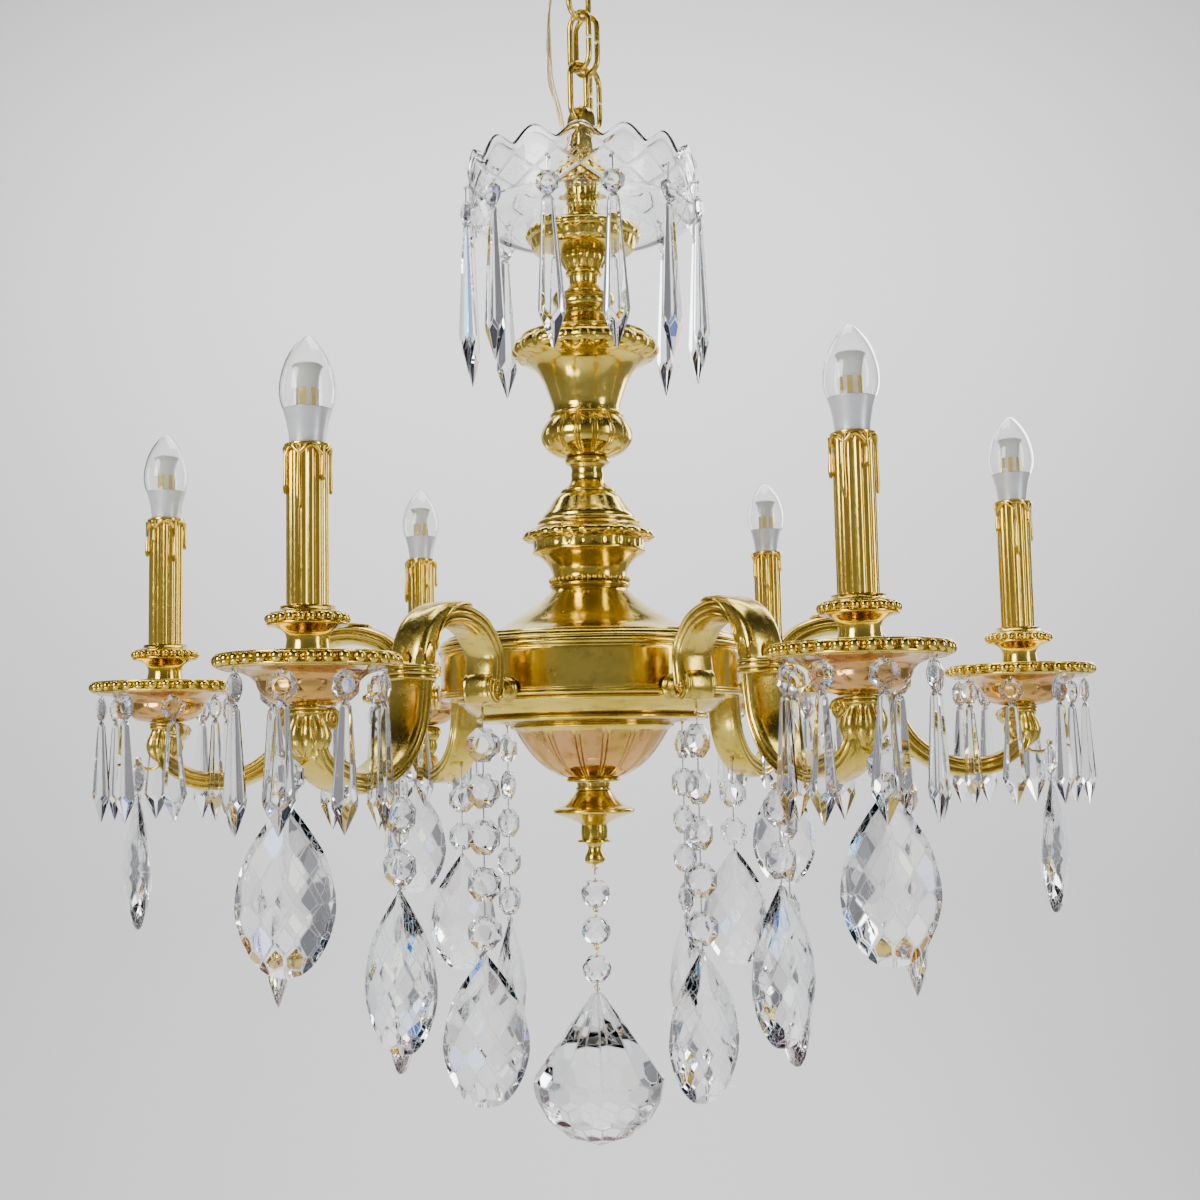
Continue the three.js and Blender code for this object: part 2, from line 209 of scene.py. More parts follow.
def turned(outline, segments, closed=False):
    """The outline turned about Z. With `closed` its last row joins its first."""
    rows = outline.rows
    line = np.array([row[:2] for row in rows], float)
    slope = np.gradient(line, axis=0)
    length = np.maximum(np.linalg.norm(slope, axis=1), 1e-9)
    theta = np.arange(segments) * (2 * math.pi / segments)
    points = np.empty((len(rows), segments, 3))
    for i, (radius, height, lobes, depth, cut, _) in enumerate(rows):
        offset = depth * CUTS[cut](lobes * theta) if lobes else np.zeros(segments)
        r = radius + offset * slope[i, 1] / length[i]
        points[i, :, 0] = r * np.cos(theta)
        points[i, :, 1] = r * np.sin(theta)
        points[i, :, 2] = height - offset * slope[i, 0] / length[i]
    faces = grid_faces(len(rows), segments, closed_rows=closed)
    kinds = np.repeat([row[5] for row in rows], segments)[:len(faces)]
    return Part(points, faces, kinds)


def tube(path, radius, sides=10, closed=False):
    """A round wire along the path. Its radius is one number, or one for each point."""
    path = np.asarray(path, float)
    radii = np.broadcast_to(radius, len(path))
    if closed:
        tangent = np.roll(path, -1, axis=0) - np.roll(path, 1, axis=0)
    else:
        tangent = np.gradient(path, axis=0)
    tangent /= np.linalg.norm(tangent, axis=1)[:, None]
    side = np.cross(tangent[0], (0.31, 0.47, 0.83))
    angle = np.arange(sides) * (2 * math.pi / sides)
    points = []
    for here, ahead, r in zip(path, tangent, radii):
        side = side - ahead * np.dot(side, ahead)
        side /= np.linalg.norm(side)
        other = np.cross(ahead, side)
        points.append(here + r * (np.outer(np.cos(angle), side) + np.outer(np.sin(angle), other)))
    faces = grid_faces(len(path), sides, closed_rows=closed)
    if not closed:
        last = (len(path) - 1) * sides
        faces.append(tuple(range(sides)))
        faces.append(tuple(last + i for i in range(sides)))
    return Part(np.concatenate(points), faces)


def banded(path, section, scale=None, closed=False):
    """A bar along a path in the XZ plane. Its section is given across (Y) and outward of the path."""
    path = np.asarray(path, float)
    section = np.asarray(section, float)
    if closed:
        tangent = np.roll(path, -1, axis=0) - np.roll(path, 1, axis=0)
    else:
        tangent = np.gradient(path, axis=0)
    tangent /= np.linalg.norm(tangent, axis=1)[:, None]
    outward = np.stack([-tangent[:, 1], tangent[:, 0]], axis=1)
    grown = np.ones(len(path)) if scale is None else np.asarray(scale, float)
    points = np.empty((len(path), len(section), 3))
    points[:, :, 0] = path[:, :1] + grown[:, None] * section[None, :, 1] * outward[:, :1]
    points[:, :, 1] = grown[:, None] * section[None, :, 0]
    points[:, :, 2] = path[:, 1:] + grown[:, None] * section[None, :, 1] * outward[:, 1:]
    faces = grid_faces(len(path), len(section), closed_rows=closed)
    if not closed:
        last = (len(path) - 1) * len(section)
        faces.append(tuple(range(len(section))))
        faces.append(tuple(last + i for i in range(len(section))))
    return Part(points, faces)


def ring_points(theta, radius, height):
    """Points round Z at those angles. The radius and the height are one number, or one for each angle."""
    level = np.broadcast_to(height, theta.shape)
    return np.stack([radius * np.cos(theta), radius * np.sin(theta), level], axis=1)


def round_section(radius, sides=14):
    angle = np.arange(sides) * (2 * math.pi / sides)
    return np.stack([radius * np.cos(angle), radius * np.sin(angle)], axis=1)


def sphere(radius, rings=8, segments=12):
    outline = Outline().run(*[(radius * math.cos(a), radius * math.sin(a))
                              for a in np.linspace(-math.pi / 2, math.pi / 2, rings + 1)])
    return turned(outline, segments)


def bead_row(count, circle, height, radius):
    return around(sphere(radius).moved(circle, 0, height), count)


def wire_ring(radius, wire, steps=18):
    """An upright ring of wire in the XZ plane."""
    angle = np.arange(steps) * (2 * math.pi / steps)
    path = np.stack([radius * np.cos(angle), np.zeros(steps), radius * np.sin(angle)], axis=1)
    return tube(path, wire, sides=8, closed=True)


# ---------------------------------------------------------------- cut stones
GROUND = 2  # the material number of a stone's worn edges


def facet_rows(rows):
    """Facet planes round a ball, in rows of (latitude, count, distance). Odd rows are half a facet on."""
    planes = []
    for row, (latitude, count, distance) in enumerate(rows):
        a = math.radians(latitude)
        for i in range(count):
            b = math.radians((i + 0.5 * (row % 2)) * 360 / count)
            planes.append(((math.cos(a) * math.cos(b), math.cos(a) * math.sin(b), math.sin(a)), distance))
    return planes


def facet_ring(count, low, high, start=0.0):
    """Facet planes round Z through two profile points, each (radius, height), the lower one first."""
    across = high[0] - low[0]
    up = high[1] - low[1]
    length = math.hypot(across, up)
    outward = up / length
    upward = -across / length
    distance = outward * low[0] + upward * low[1]
    planes = []
    for i in range(count):
        angle = math.radians(start + i * 360 / count)
        planes.append(((outward * math.cos(angle), outward * math.sin(angle), upward), distance))
    return planes


def both_ways(planes):
    """The planes and their mirror images below."""
    return planes + [((x, y, -z), distance) for (x, y, z), distance in planes]


def cut_stone(size, planes, softening):
    """A convex stone: a block of that half size, cut by planes given by outward direction and distance.

    `softening` is how far its edges are worn off.
    """
    bm = bmesh.new()
    bmesh.ops.create_cube(bm, size=2 * size)
    for direction, distance in planes:
        normal = Vector(direction).normalized()
        cut = bmesh.ops.bisect_plane(bm, geom=bm.verts[:] + bm.edges[:] + bm.faces[:], dist=1e-4,
                                     plane_co=normal * distance, plane_no=normal, clear_outer=True)
        edges = [e for e in cut["geom_cut"] if isinstance(e, bmesh.types.BMEdge)]
        if len(edges) > 2:
            bmesh.ops.contextual_create(bm, geom=edges)
    too_close = 2.2 * softening  # corners nearer than this leave no room for two worn edges
    bmesh.ops.remove_doubles(bm, verts=bm.verts, dist=too_close)
    worn = bmesh.ops.bevel(bm, geom=bm.edges[:], offset=softening, segments=1, affect="EDGES",
                           clamp_overlap=True)
    for face in worn["faces"]:
        face.material_index = GROUND
    bm.verts.index_update()
    points = [tuple(v.co) for v in bm.verts]
    faces = [tuple(v.index for v in f.verts) for f in bm.faces]
    kinds = [f.material_index for f in bm.faces]
    bm.free()
    return Part(points, faces, kinds, smooth=False)


def octagon_bead():
    """A flat eight-sided bead of unit width facing X, with a table, eight main and eight corner facets."""
    side = [((0, 0, 1), 0.19)]
    side += facet_ring(8, (0.5, 0.05), (0.27, 0.19))
    side += facet_ring(8, (0.541, 0.05), (0.255, 0.19), start=22.5)
    girdle = facet_ring(8, (0.5, -1), (0.5, 1))
    return cut_stone(0.6, girdle + both_ways(side), 0.012).spun(90, "Y")


def round_bead(radius):
    latitudes = [(-62, 6), (-36, 10), (-12, 10), (12, 10), (36, 10), (62, 6)]
    planes = facet_rows([(latitude, count, radius) for latitude, count in latitudes])
    planes += both_ways([((0, 0, 1), radius * 0.96)])
    return cut_stone(radius * 1.2, planes, 0.2)


def spear(length, width, top_width, widest, flatness):
    """A six-sided drop that widens down to `widest` and ends in a point, its top at zero, facing X."""
    half = width / 2
    tip = 0.5
    planes = facet_ring(6, (half, -widest), (top_width / 2, 0))
    planes += facet_ring(6, (tip, -length), (half * 1.07, -widest), start=30)
    planes += facet_ring(6, (top_width * 0.47, -2.2), (top_width * 0.28, 0), start=30)
    planes += [((0, 0, 1), 0.0), ((0, 0, -1), length)]
    tapered = cut_stone(length * 1.1, planes, 0.3)
    return tapered.scaled(flatness, 1, 1)


ALMOND_EDGE = [(0, 0), (3.2, -2.6), (17, -21), (26.4, -38), (31.6, -62), (29.3, -80), (21.8, -96),
               (11.5, -106.5), (0, -109.5)]
ALMOND_MIDDLE = -62.0
ALMOND_HALF_WIDTH = 31.6


def almond():
    """A pear-shaped stone facing X, its top at zero: a lens with diamond facets and a bevelled rim."""
    half_thick = 10.0
    half_height = 54.0
    spacing = 0.44  # between diamond facets, as a share of the half width and half height
    rim_facets = 26
    right = smooth(ALMOND_EDGE, 8)
    edge = np.vstack([right, right[-2:0:-1] * (-1, 1)]) - (0, ALMOND_MIDDLE)
    bearing = np.unwrap(np.arctan2(edge[:, 0], edge[:, 1]))
    reach = np.linalg.norm(edge, axis=1)

    def gauge(y, z):
        """Nought in the middle and one at the stone's edge."""
        toward = math.atan2(y, z) % (2 * math.pi)
        return math.hypot(y, z) / np.interp(toward, bearing, reach, period=2 * math.pi)

    def tangent_plane(y, z, lift=1.0):
        """The facet plane that touches the lens above that place."""
        step = 0.05
        swell = half_thick * lift
        slope_y = swell * (gauge(y + step, z) ** 2 - gauge(y - step, z) ** 2) / (2 * step)
        slope_z = swell * (gauge(y, z + step) ** 2 - gauge(y, z - step) ** 2) / (2 * step)
        height = swell * (1 - gauge(y, z) ** 2)
        length = math.sqrt(1 + slope_y ** 2 + slope_z ** 2)
        direction = (slope_y / length, slope_z / length, 1 / length)
        return direction, (slope_y * y + slope_z * z + height) / length

    planes = []
    for row in range(-5, 6):
        for column in range(-4, 5):
            y = ALMOND_HALF_WIDTH * spacing * (column + 0.5 * (row % 2))
            z = half_height * spacing * row / 2
            if math.hypot(y, z) > 0.1 and gauge(y, z) < 0.8:
                planes.append(tangent_plane(y, z))
    planes.append(((0, 0, 1), half_thick))
    for i in range(rim_facets):
        place = int(i * len(edge) / rim_facets)
        y, z = edge[place] * 0.93
        planes.append(tangent_plane(y, z, 1.08))
    girdle = []
    for i in range(2 * rim_facets):
        place = int(i * len(edge) / (2 * rim_facets))
        ahead = edge[(place + 1) % len(edge)] - edge[place - 1]
        normal = np.array([-ahead[1], ahead[0]]) / np.linalg.norm(ahead)
        if np.dot(normal, edge[place]) < 0:
            normal = -normal
        girdle.append(((normal[0], normal[1], 0), float(np.dot(normal, edge[place]))))
    stone = cut_stone(80, girdle + both_ways(planes), 0.42)
    upright = Matrix(((0, 0, 1, 0), (1, 0, 0, 0), (0, 1, 0, ALMOND_MIDDLE), (0, 0, 0, 1)))
    return stone.through(upright)


def faceted_ball(radius):
    """A ball of rows of facets that rises to a cone with a small flat top."""
    rows = [(-70, 8, 1), (-50, 16, 1), (-30, 16, 1), (-10, 16, 1), (10, 16, 1), (29, 16, 1.005),
            (50, 16, 1.06)]
    planes = facet_rows([(latitude, count, radius * reach) for latitude, count, reach in rows])
    top = radius * 1.235
    planes += facet_ring(10, (7.0, top - 4), (4.2, top))
    planes.append(((0, 0, 1), top))
    return cut_stone(radius * 1.5, planes, 0.8)


# ---------------------------------------------------------------- materials
class Graph:
    """A material's nodes. Numbers and colours go straight to sockets, and sockets are linked."""

    def __init__(self, name):
        self.material = bpy.data.materials.new(name)
        self.material.use_nodes = True
        self.tree = self.material.node_tree
        self.shader = self.tree.nodes["Principled BSDF"]
        self.place = self.node("ShaderNodeTexCoord").outputs["Object"]

    def feed(self, socket, value):
        if isinstance(value, bpy.types.NodeSocket):
            self.tree.links.new(value, socket)
        else:
            socket.default_value = value

    def node(self, kind, settings=None, **inputs):
        made = self.tree.nodes.new(kind)
        for key, value in (settings or {}).items():
            setattr(made, key, value)
        for key, value in inputs.items():
            self.feed(made.inputs[key.replace("_", " ")], value)
        return made

    def noise(self, scale, detail=3.0, roughness=0.55, stretch=None):
        vector = self.place
        if stretch:
            vector = self.node("ShaderNodeMapping", Vector=vector, Scale=stretch).outputs["Vector"]
        return self.node("ShaderNodeTexNoise", Vector=vector, Scale=scale, Detail=detail,
                         Roughness=roughness).outputs["Fac"]

    def spread(self, value, low, high, to_low=0.0, to_high=1.0):
        """Stretches a value from one range to another, and keeps it in that range."""
        made = self.node("ShaderNodeMapRange", Value=value)
        made.inputs["From Min"].default_value = low
        made.inputs["From Max"].default_value = high
        made.inputs["To Min"].default_value = to_low
        made.inputs["To Max"].default_value = to_high
        return made.outputs["Result"]

    def mix(self, factor, first, second):
        made = self.tree.nodes.new("ShaderNodeMix")
        made.data_type = "RGBA"
        self.feed(made.inputs["Factor"], factor)
        self.feed(made.inputs[6], first if isinstance(first, bpy.types.NodeSocket) else (*first, 1))
        self.feed(made.inputs[7], second if isinstance(second, bpy.types.NodeSocket) else (*second, 1))
        return made.outputs[2]

    def math(self, operation, first, second):
        made = self.tree.nodes.new("ShaderNodeMath")
        made.operation = operation
        self.feed(made.inputs[0], first)
        self.feed(made.inputs[1], second)
        return made.outputs[0]

    def bump(self, height, strength, distance, before=None):
        made = self.node("ShaderNodeBump", Height=height, Strength=strength, Distance=distance)
        if before is not None:
            self.feed(made.inputs["Normal"], before)
        return made.outputs["Normal"]

    def crevices(self, low=0.42, high=0.5):
        """One in hollows and nought on open surfaces and edges."""
        pointiness = self.node("ShaderNodeNewGeometry").outputs["Pointiness"]
        return self.spread(pointiness, low, high, 1.0, 0.0)

    def set(self, **inputs):
        for key, value in inputs.items():
            self.feed(self.shader.inputs[key.replace("_", " ")], value)
        return self.material


def worn_metal(name, bright, deep, dirt_and_shade, shine=0.14, grime=0.5, hollow_patina_and_shade=0.85, relief=1.0):
    """Polished cast metal: uneven tone, dark lacquer left in hollows deepened by painted crevice shade, fine
    scratches and a soft ripple.

    `grime` is how strong the dark patches are, and `relief` how strong the scratches and the ripple are.
    """
    g = Graph(name)
    tone = g.mix(g.spread(g.noise(22, 4), 0.35, 0.7), bright, deep)
    patches = g.math("MULTIPLY", g.spread(g.noise(70, 5, 0.65), 0.52, 0.75), grime)
    # painted shade: hollows are darkened as crevice shade would darken them, on top of the dark lacquer left
    # there
    hollows = g.math("MULTIPLY", g.crevices(), hollow_patina_and_shade)
    dark = g.math("MAXIMUM", patches, hollows)
    # the dark colour paints the random dark patches, and in hollows the lacquer together with painted crevice
    # shade
    colour = g.mix(dark, tone, dirt_and_shade)
    wear = g.noise(260, 4, 0.7)
    polish = g.spread(wear, 0.3, 0.75, shine, shine + 0.13)
    roughness = g.math("ADD", polish, g.math("MULTIPLY", dark, 0.3))
    ripple = g.bump(g.noise(90, 2), 0.16 * relief, 0.0012)
    scratches = g.bump(g.noise(900, 2, 0.6, (1, 1, 5)), 0.06 * relief, 0.0002, ripple)
    return g.set(Base_Color=colour, Metallic=1.0, Roughness=roughness, Normal=scratches)


def clear_stone(name, tint, ior, haze=0.0, film=0.0):
    """Clear glass or crystal: a faint uneven tint, some haze and, for cut stones, a colour film."""
    g = Graph(name)
    colour = g.mix(g.spread(g.noise(45, 1), 0.35, 0.65), (1.0, 1.0, 1.0), tint)
    roughness = g.spread(g.noise(160, 3), 0.45, 0.8, haze, haze + 0.03)
    normal = g.bump(g.noise(140, 1), 0.03, 0.0006)
    return g.set(Base_Color=colour, Roughness=roughness, Transmission_Weight=1.0, IOR=ior, Normal=normal,
                 Thin_Film_Thickness=film, Thin_Film_IOR=1.42)


def painted(name, colour, second, roughness, metallic=0.0):
    """Paint or moulded plastic: two close tones and a fine grain."""
    g = Graph(name)
    mixed = g.mix(g.spread(g.noise(120, 4), 0.35, 0.7), colour, second)
    rough = g.spread(g.noise(400, 3), 0.3, 0.75, roughness, roughness + 0.14)
    normal = g.bump(g.noise(1500, 2), 0.12, 0.00015)
    return g.set(Base_Color=mixed, Roughness=rough, Metallic=metallic, Normal=normal)


# each metal's third colour is its dark patches and the painted crevice shade in its hollows
BRASS = worn_metal("polished_brass", (0.81, 0.61, 0.12), (0.63, 0.45, 0.06), (0.17, 0.12, 0.02), shine=0.09)
CAST_BRASS = worn_metal("cast_brass", (0.76, 0.57, 0.12), (0.55, 0.39, 0.055), (0.13, 0.09, 0.016),
                        shine=0.15, grime=0.7)
COPPERY = worn_metal("coppery_brass", (0.66, 0.35, 0.14), (0.58, 0.36, 0.07), (0.20, 0.09, 0.02),
                     shine=0.07, grime=0.6)
GILT = worn_metal("satin_gilt", (0.84, 0.60, 0.11), (0.74, 0.50, 0.08), (0.40, 0.24, 0.03),
                  shine=0.1, grime=0.15, hollow_patina_and_shade=0.0, relief=0.1)
STEEL = worn_metal("bright_wire", (0.78, 0.78, 0.76), (0.62, 0.62, 0.60), (0.25, 0.24, 0.22),
                   shine=0.2, grime=0.3)
CRYSTAL = clear_stone("cut_crystal", (0.95, 0.96, 0.985), 1.6, film=330.0)
CROWN_GLASS = clear_stone("crown_glass", (0.95, 0.965, 0.97), 1.5)
GROUND_EDGE = clear_stone("ground_edge", (0.70, 0.73, 0.78), 1.5, haze=0.4)
BULB_GLASS = clear_stone("bulb_glass", (0.97, 0.98, 0.975), 1.46)
COLLAR_WHITE = painted("bulb_collar", (0.70, 0.72, 0.73), (0.62, 0.64, 0.66), 0.3, metallic=0.35)
GUIDE_WHITE = painted("light_guide", (0.86, 0.85, 0.80), (0.80, 0.79, 0.73), 0.35)
LED_YELLOW = painted("led_phosphor", (0.85, 0.62, 0.12), (0.75, 0.52, 0.08), 0.4)
HOLDER = painted("holder_plastic", (0.78, 0.76, 0.68), (0.70, 0.67, 0.58), 0.5)
SHEATH = clear_stone("clear_sheath", (0.95, 0.93, 0.86), 1.45, haze=0.12)
CORE = worn_metal("flex_core", (0.80, 0.60, 0.30), (0.70, 0.50, 0.22), (0.35, 0.22, 0.08),
                  shine=0.3, grime=0.4)


# ---------------------------------------------------------------- suspension
LINK_HALF_HEIGHT = 25.5
LINK_HALF_WIDTH = 11.5
LINK_WIRE_R = 2.5
# each link's middle height, turn and place
LINKS = [(605.1, 45, "upper"), (559.4, -45, "middle"), (513.7, 45, "lower")]
LOOP_CENTRE = 480.0
HOOK_EYE = 634.3
CEILING = -HUB_LEVEL / MM


def oval(half_width, half_height, opening=0.0, steps=14):
    """Points of an upright oval with round ends, in the XZ plane, with an opening in its right leg."""
    straight = half_height - half_width
    angle = np.linspace(0, math.pi, steps)
    top = np.stack([half_width * np.cos(angle), straight + half_width * np.sin(angle)], axis=1)
    bottom = -top
    leg = np.linspace(opening / 2, straight, 6)[:-1]
    rising = np.stack([np.full(5, half_width), leg], axis=1)
    falling = np.linspace(straight, -straight, 12)[1:-1]
    left = np.stack([np.full(10, -half_width), falling], axis=1)
    closing = np.stack([np.full(5, half_width), -leg[::-1]], axis=1)
    return np.vstack([rising, top, left, bottom, closing])


def chain_link(height, turn, opening=3.0, x=0.0, y=0.0):
    """An open oval link of round wire."""
    path = oval(LINK_HALF_WIDTH, LINK_HALF_HEIGHT, opening)
    return banded(path, round_section(LINK_WIRE_R)).spun(turn).moved(x, y, height)


def hook_plate():
    """The ceiling plate with its screws, and the threaded eye that carries the chain."""
    top = CEILING
    plate = Outline().run((0, top - 4), (34, top - 4))
    plate.run((34, top - 4), (38, top - 3.6), (40.8, top - 2.4), (42, top - 0.8), steps=4)
    plate.run((42, top), (0, top))
    stud = Outline().run((0, HOOK_EYE + 8), (3.5, HOOK_EYE + 8))
    pitch = 1.6
    for i in range(22):
        z = HOOK_EYE + 9 + i * pitch
        stud.run((3.6, z), (3.1, z + pitch / 2))
    stud.run((3.6, top - 2), (0, top - 2))
    nut = Outline().run((0, top - 12), (6.4, top - 12), (7.4, top - 11), (7.4, top - 5), (6.4, top - 4),
                        (0, top - 4))
    screw = Outline()
    screw.run((0, top - 6), (2, top - 5.9), (3.6, top - 5), (4, top - 3.9), (0, top - 3.9), steps=2)
    screws = around(turned(screw, 20).moved(27, 0, 0), 3, 20)
    eye = wire_ring(9, LINK_WIRE_R, 28).spun(-45).moved(0, 0, HOOK_EYE)
    return [turned(plate, 72), turned(stud, 20), turned(nut, 6), screws, eye]


def canopy():
    """The spun cup that hides the ceiling plate, open at its foot for the chain and the flex."""
    rim = CEILING - 0.3
    shell = Outline()
    shell.run((14, 645.5), (21, 645.3)).ring(21.6, 645.4, 647.6)
    shell.run((22.4, 648), (25, 650.3), (34, 654.2), (46, 660), (53, 667.5), (55.6, 674), steps=6)
    shell.run((55.6, 674), (56.8, 674.6)).ring(56.4, 675.4, 678.4)
    shell.run((56.6, 679), (57.4, 684), (58, rim), steps=4)
    shell.run((58, rim), (56.4, rim))
    shell.run((56.4, rim), (54.8, 673), (45, 661.8), (24, 652), (14, 649), steps=5)
    return turned(shell, 128, closed=True)


def hanging_loop():
    """The cast loop the chain hooks into: a broad strap with sharp ridges."""
    section = [(-5.6, -2.2), (-3.4, -4.6), (0, -5.2), (3.4, -4.6), (5.6, -2.2), (5.9, 0), (6.3, 3.4),
               (4.2, 3.6), (2.6, 5.4), (1.3, 4.0), (0, 6.4), (-1.3, 4.0), (-2.6, 5.4), (-4.2, 3.6),
               (-6.3, 3.4), (-5.9, 0)]
    loop = banded(oval(9, 17, 0.0, 18), section).spun(-45).moved(0, 0, LOOP_CENTRE)
    foot = Outline().run((0, 455.9), (9, 455.9), (9.6, 457.6), (8, 459.6), (6.8, 461.5), (0, 462), steps=2)
    return [loop, turned(foot, 40)]


FLEX_ROUTE = [(-9, 0, 676), (-9, 0, 660), (-10, 0, 643), (-20, -2, 622), (-25, -3, 590), (-26, -3, 548),
              (-25, -3, 524), (-19, -2, 500), (-15, -1, 480), (-14, 0, 461)]
FLEX_JOINS = [690.0, 602.0, 556.0, 511.0, 400.0]
FLEX_BODIES = ["ceiling", "link_upper", "link_middle", "link_lower", "fixture"]
STRAND_R = 1.25
STRAND_CORE_R = 0.62
STRAND_SPREAD = 1.35  # from the flex's middle to each strand


def supply_flex():
    """Twin flex in a clear sheath, in four lengths, each over the stretch between two neighbouring bodies."""
    route = smooth(FLEX_ROUTE, 14)
    for i in range(4):
        upper = FLEX_JOINS[i]
        lower = FLEX_JOINS[i + 1]
        inside = [k for k, p in enumerate(route) if lower <= p[2] <= upper]
        first = max(inside[0] - 1, 0)
        stretch = route[first:inside[-1] + 1]
        strands = []
        for side in (-1, 1):
            turn = stretch[:, 2] * 0.03
            sway = ring_points(turn, STRAND_SPREAD, 0.0)
            strands.append(tube(stretch + side * sway, STRAND_R, sides=12))
            strands.append(tube(stretch + side * sway, STRAND_CORE_R, sides=8).of(1))
        name = f"flex_{FLEX_BODIES[i + 1]}"
        length = piece(name, strands, [SHEATH, CORE], None)
        above, below = FLEX_BODIES[i], FLEX_BODIES[i + 1]
        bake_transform(length)
        if below == "fixture":
            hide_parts("supply_flex")


def make_suspension():
    piece("ceiling_plate", hook_plate(), [STEEL], "ceiling", ["hook_plate"])
    piece("ceiling_canopy", canopy(), [BRASS], "ceiling", ["canopy"])
    for n, (height, turn, place) in enumerate(LINKS, 1):
        piece(f"link_{n}", chain_link(height, turn), [CAST_BRASS], f"link_{place}", [f"chain_link_{place}"])
    spare = [chain_link(557.5, -38, 2.0, 6.0, 6.5), chain_link(512, 62, 2.0, 10.5, 10.5)]
    piece("spare_links", spare, [CAST_BRASS], "link_middle")
    piece("cast_loop", hanging_loop(), [CAST_BRASS], "fixture", ["hanging_loop"], crease=28)
    supply_flex()


# ---------------------------------------------------------------- centre column
BORE = 5.2  # radius of the hole for the tie rod


def tie_rod():
    rod = Outline().run((0, -67), (4.3, -67))
    pitch = 2.0
    for i in range(260):
        z = -66.5 + i * pitch
        rod.run((4.5, z), (4.0, z + pitch / 2))
    return turned(rod.run((4.3, 456.5), (0, 456.5)), 14)


def crown_cap():
    cap = Outline().run((BORE, 396.9), (15, 396.9)).ring(14.6, 397.2, 400.4)
    cap.run((14, 400.6), (12.6, 403), (13, 405.2), steps=4).ring(13.6, 405.4, 409)
    cap.run((13, 409.4), (12.2, 413), (13.8, 418), (13, 424), steps=5, lobes=12, depth=0.9)
    cap.ring(13.8, 424.6, 428.6).run((13.4, 429), (17, 431.2), (26, 432.4), steps=4)
    cap.ring(26.6, 432.4, 435.2)
    cap.run((26.6, 435.4), (24.2, 440), (19.4, 446), (13.6, 451.5), (10, 455.9),
            steps=6, lobes=18, depth=1.1)
    cap.run((10, 455.9), (BORE, 455.9))
    return turned(cap, 216, closed=True)


def upper_stem():
    stem = Outline().run((BORE, 322.3), (24, 322.3))
    stem.run((24, 322.3), (26.4, 325.5), (27, 329), (25, 333.5), (21, 336), (17, 337.2), steps=5)
    stem.ring(16.4, 337.4, 340.6).run((15.6, 341), (12.8, 345.6), (12.4, 350), (12.8, 354), steps=5)
    stem.ring(13.6, 354.4, 358.4)
    stem.run((14.4, 358.8), (17.4, 363), (19.2, 368), (18.4, 373.5), steps=6, lobes=12, depth=1.4)
    stem.run((18.4, 373.5), (28, 374), (38, 374.6), (41.4, 376), steps=5)
    stem.run((41.4, 376), (43.4, 378.8), (44.4, 384.4), steps=5, lobes=24, depth=1.1)
    stem.run((45, 384.6), (47.4, 385.8), (48.4, 388.4), (47.2, 391.2), steps=5, lobes=24, depth=1.0)
    stem.run((46.6, 391.8), (BORE, 392))
    return turned(stem, 288, closed=True)


def vase():
    body = Outline().run((BORE, 186), (13.9, 186))
    body.run((13.9, 186), (13.4, 190), (15, 193.8), steps=4).ring(16.2, 194.4, 199.4)
    body.run((18.2, 200), (26, 202.6), (33, 207), (37.4, 213.4), (37.7, 220), (34.6, 227.6), (30, 233.2),
             steps=5, lobes=16, depth=1.3, cut="panel")
    body.ring(29.3, 233.4, 236.4)
    body.run((28.9, 236.8), (28.2, 243), (30.6, 251), (35.3, 264), (42, 275), (50, 281), steps=6)
    body.run((50, 281), (51.6, 281.4))
    body.run((51.6, 281.4), (57, 283.6), (60.8, 287), (61.7, 291), (59.6, 295.4), (54.4, 299.4),
             steps=5, lobes=20, depth=2.0)
    body.ring(52.6, 299.6, 302.2)
    body.run((52, 302.4), (45, 305), (37, 308.4), (30, 313), (25.6, 318), (24, 321.9), steps=5)
    body.run((24, 321.9), (BORE, 321.9))
    return turned(body, 560, closed=True)


def middle_stem():
    stem = Outline().run((BORE, 95.8), (32, 95.8))
    stem.run((31, 96), (30.4, 99.5), (30.6, 103), (32, 107.4), (35.4, 112.4), (40.2, 117), (44.6, 119.6),
             steps=5)
    stem.ring(45.4, 119.8, 122.4)
    stem.run((46, 122.6), (46, 129.6), steps=6, lobes=28, depth=1.0)
    stem.run((46.6, 130), (50.4, 130.4), (53.6, 131.6), (54.6, 134), (52.6, 137), (48, 138.8), steps=4,
             lobes=24, depth=1.5)
    stem.run((48, 139), (44.6, 140.6), (42, 143.4), steps=4).ring(41, 143.6, 146.4)
    stem.run((39.6, 146.6), (38.4, 148), (37.6, 151), (34, 156), (30.6, 161), (27.4, 165.8), (23.6, 169.2),
             steps=5)
    stem.ring(21.4, 169.6, 172.6).run((20, 172.8), (16, 177), (13.9, 181.6), (13.9, 185.7), steps=5)
    stem.run((13.9, 185.7), (BORE, 185.7))
    return [turned(stem, 336, closed=True), bead_row(44, 31.8, 97.4, 2.0)]


def hub_cover():
    cover = Outline().run((119, 42.3), (123, 42.3)).ring(122.4, 42.4, 45.2)
    cover.run((122, 45.4), (120.8, 47.6), (117.4, 48.8), steps=3).ring(116.4, 48.6, 50.4)
    cover.run((115.4, 50.2), (104, 50.8), (90, 53.2), (76, 57.8), (61.5, 66.6), (45.5, 76.8), (34.4, 86),
              (31, 90.6), steps=7)
    cover.ring(31.4, 91, 95).run((BORE, 95.4), (BORE, 91))
    cover.run((BORE, 91), (27, 90), (43, 73.5), (74, 55), (118, 45.5), (119, 42.3), steps=3)
    return turned(cover, 180, closed=True)


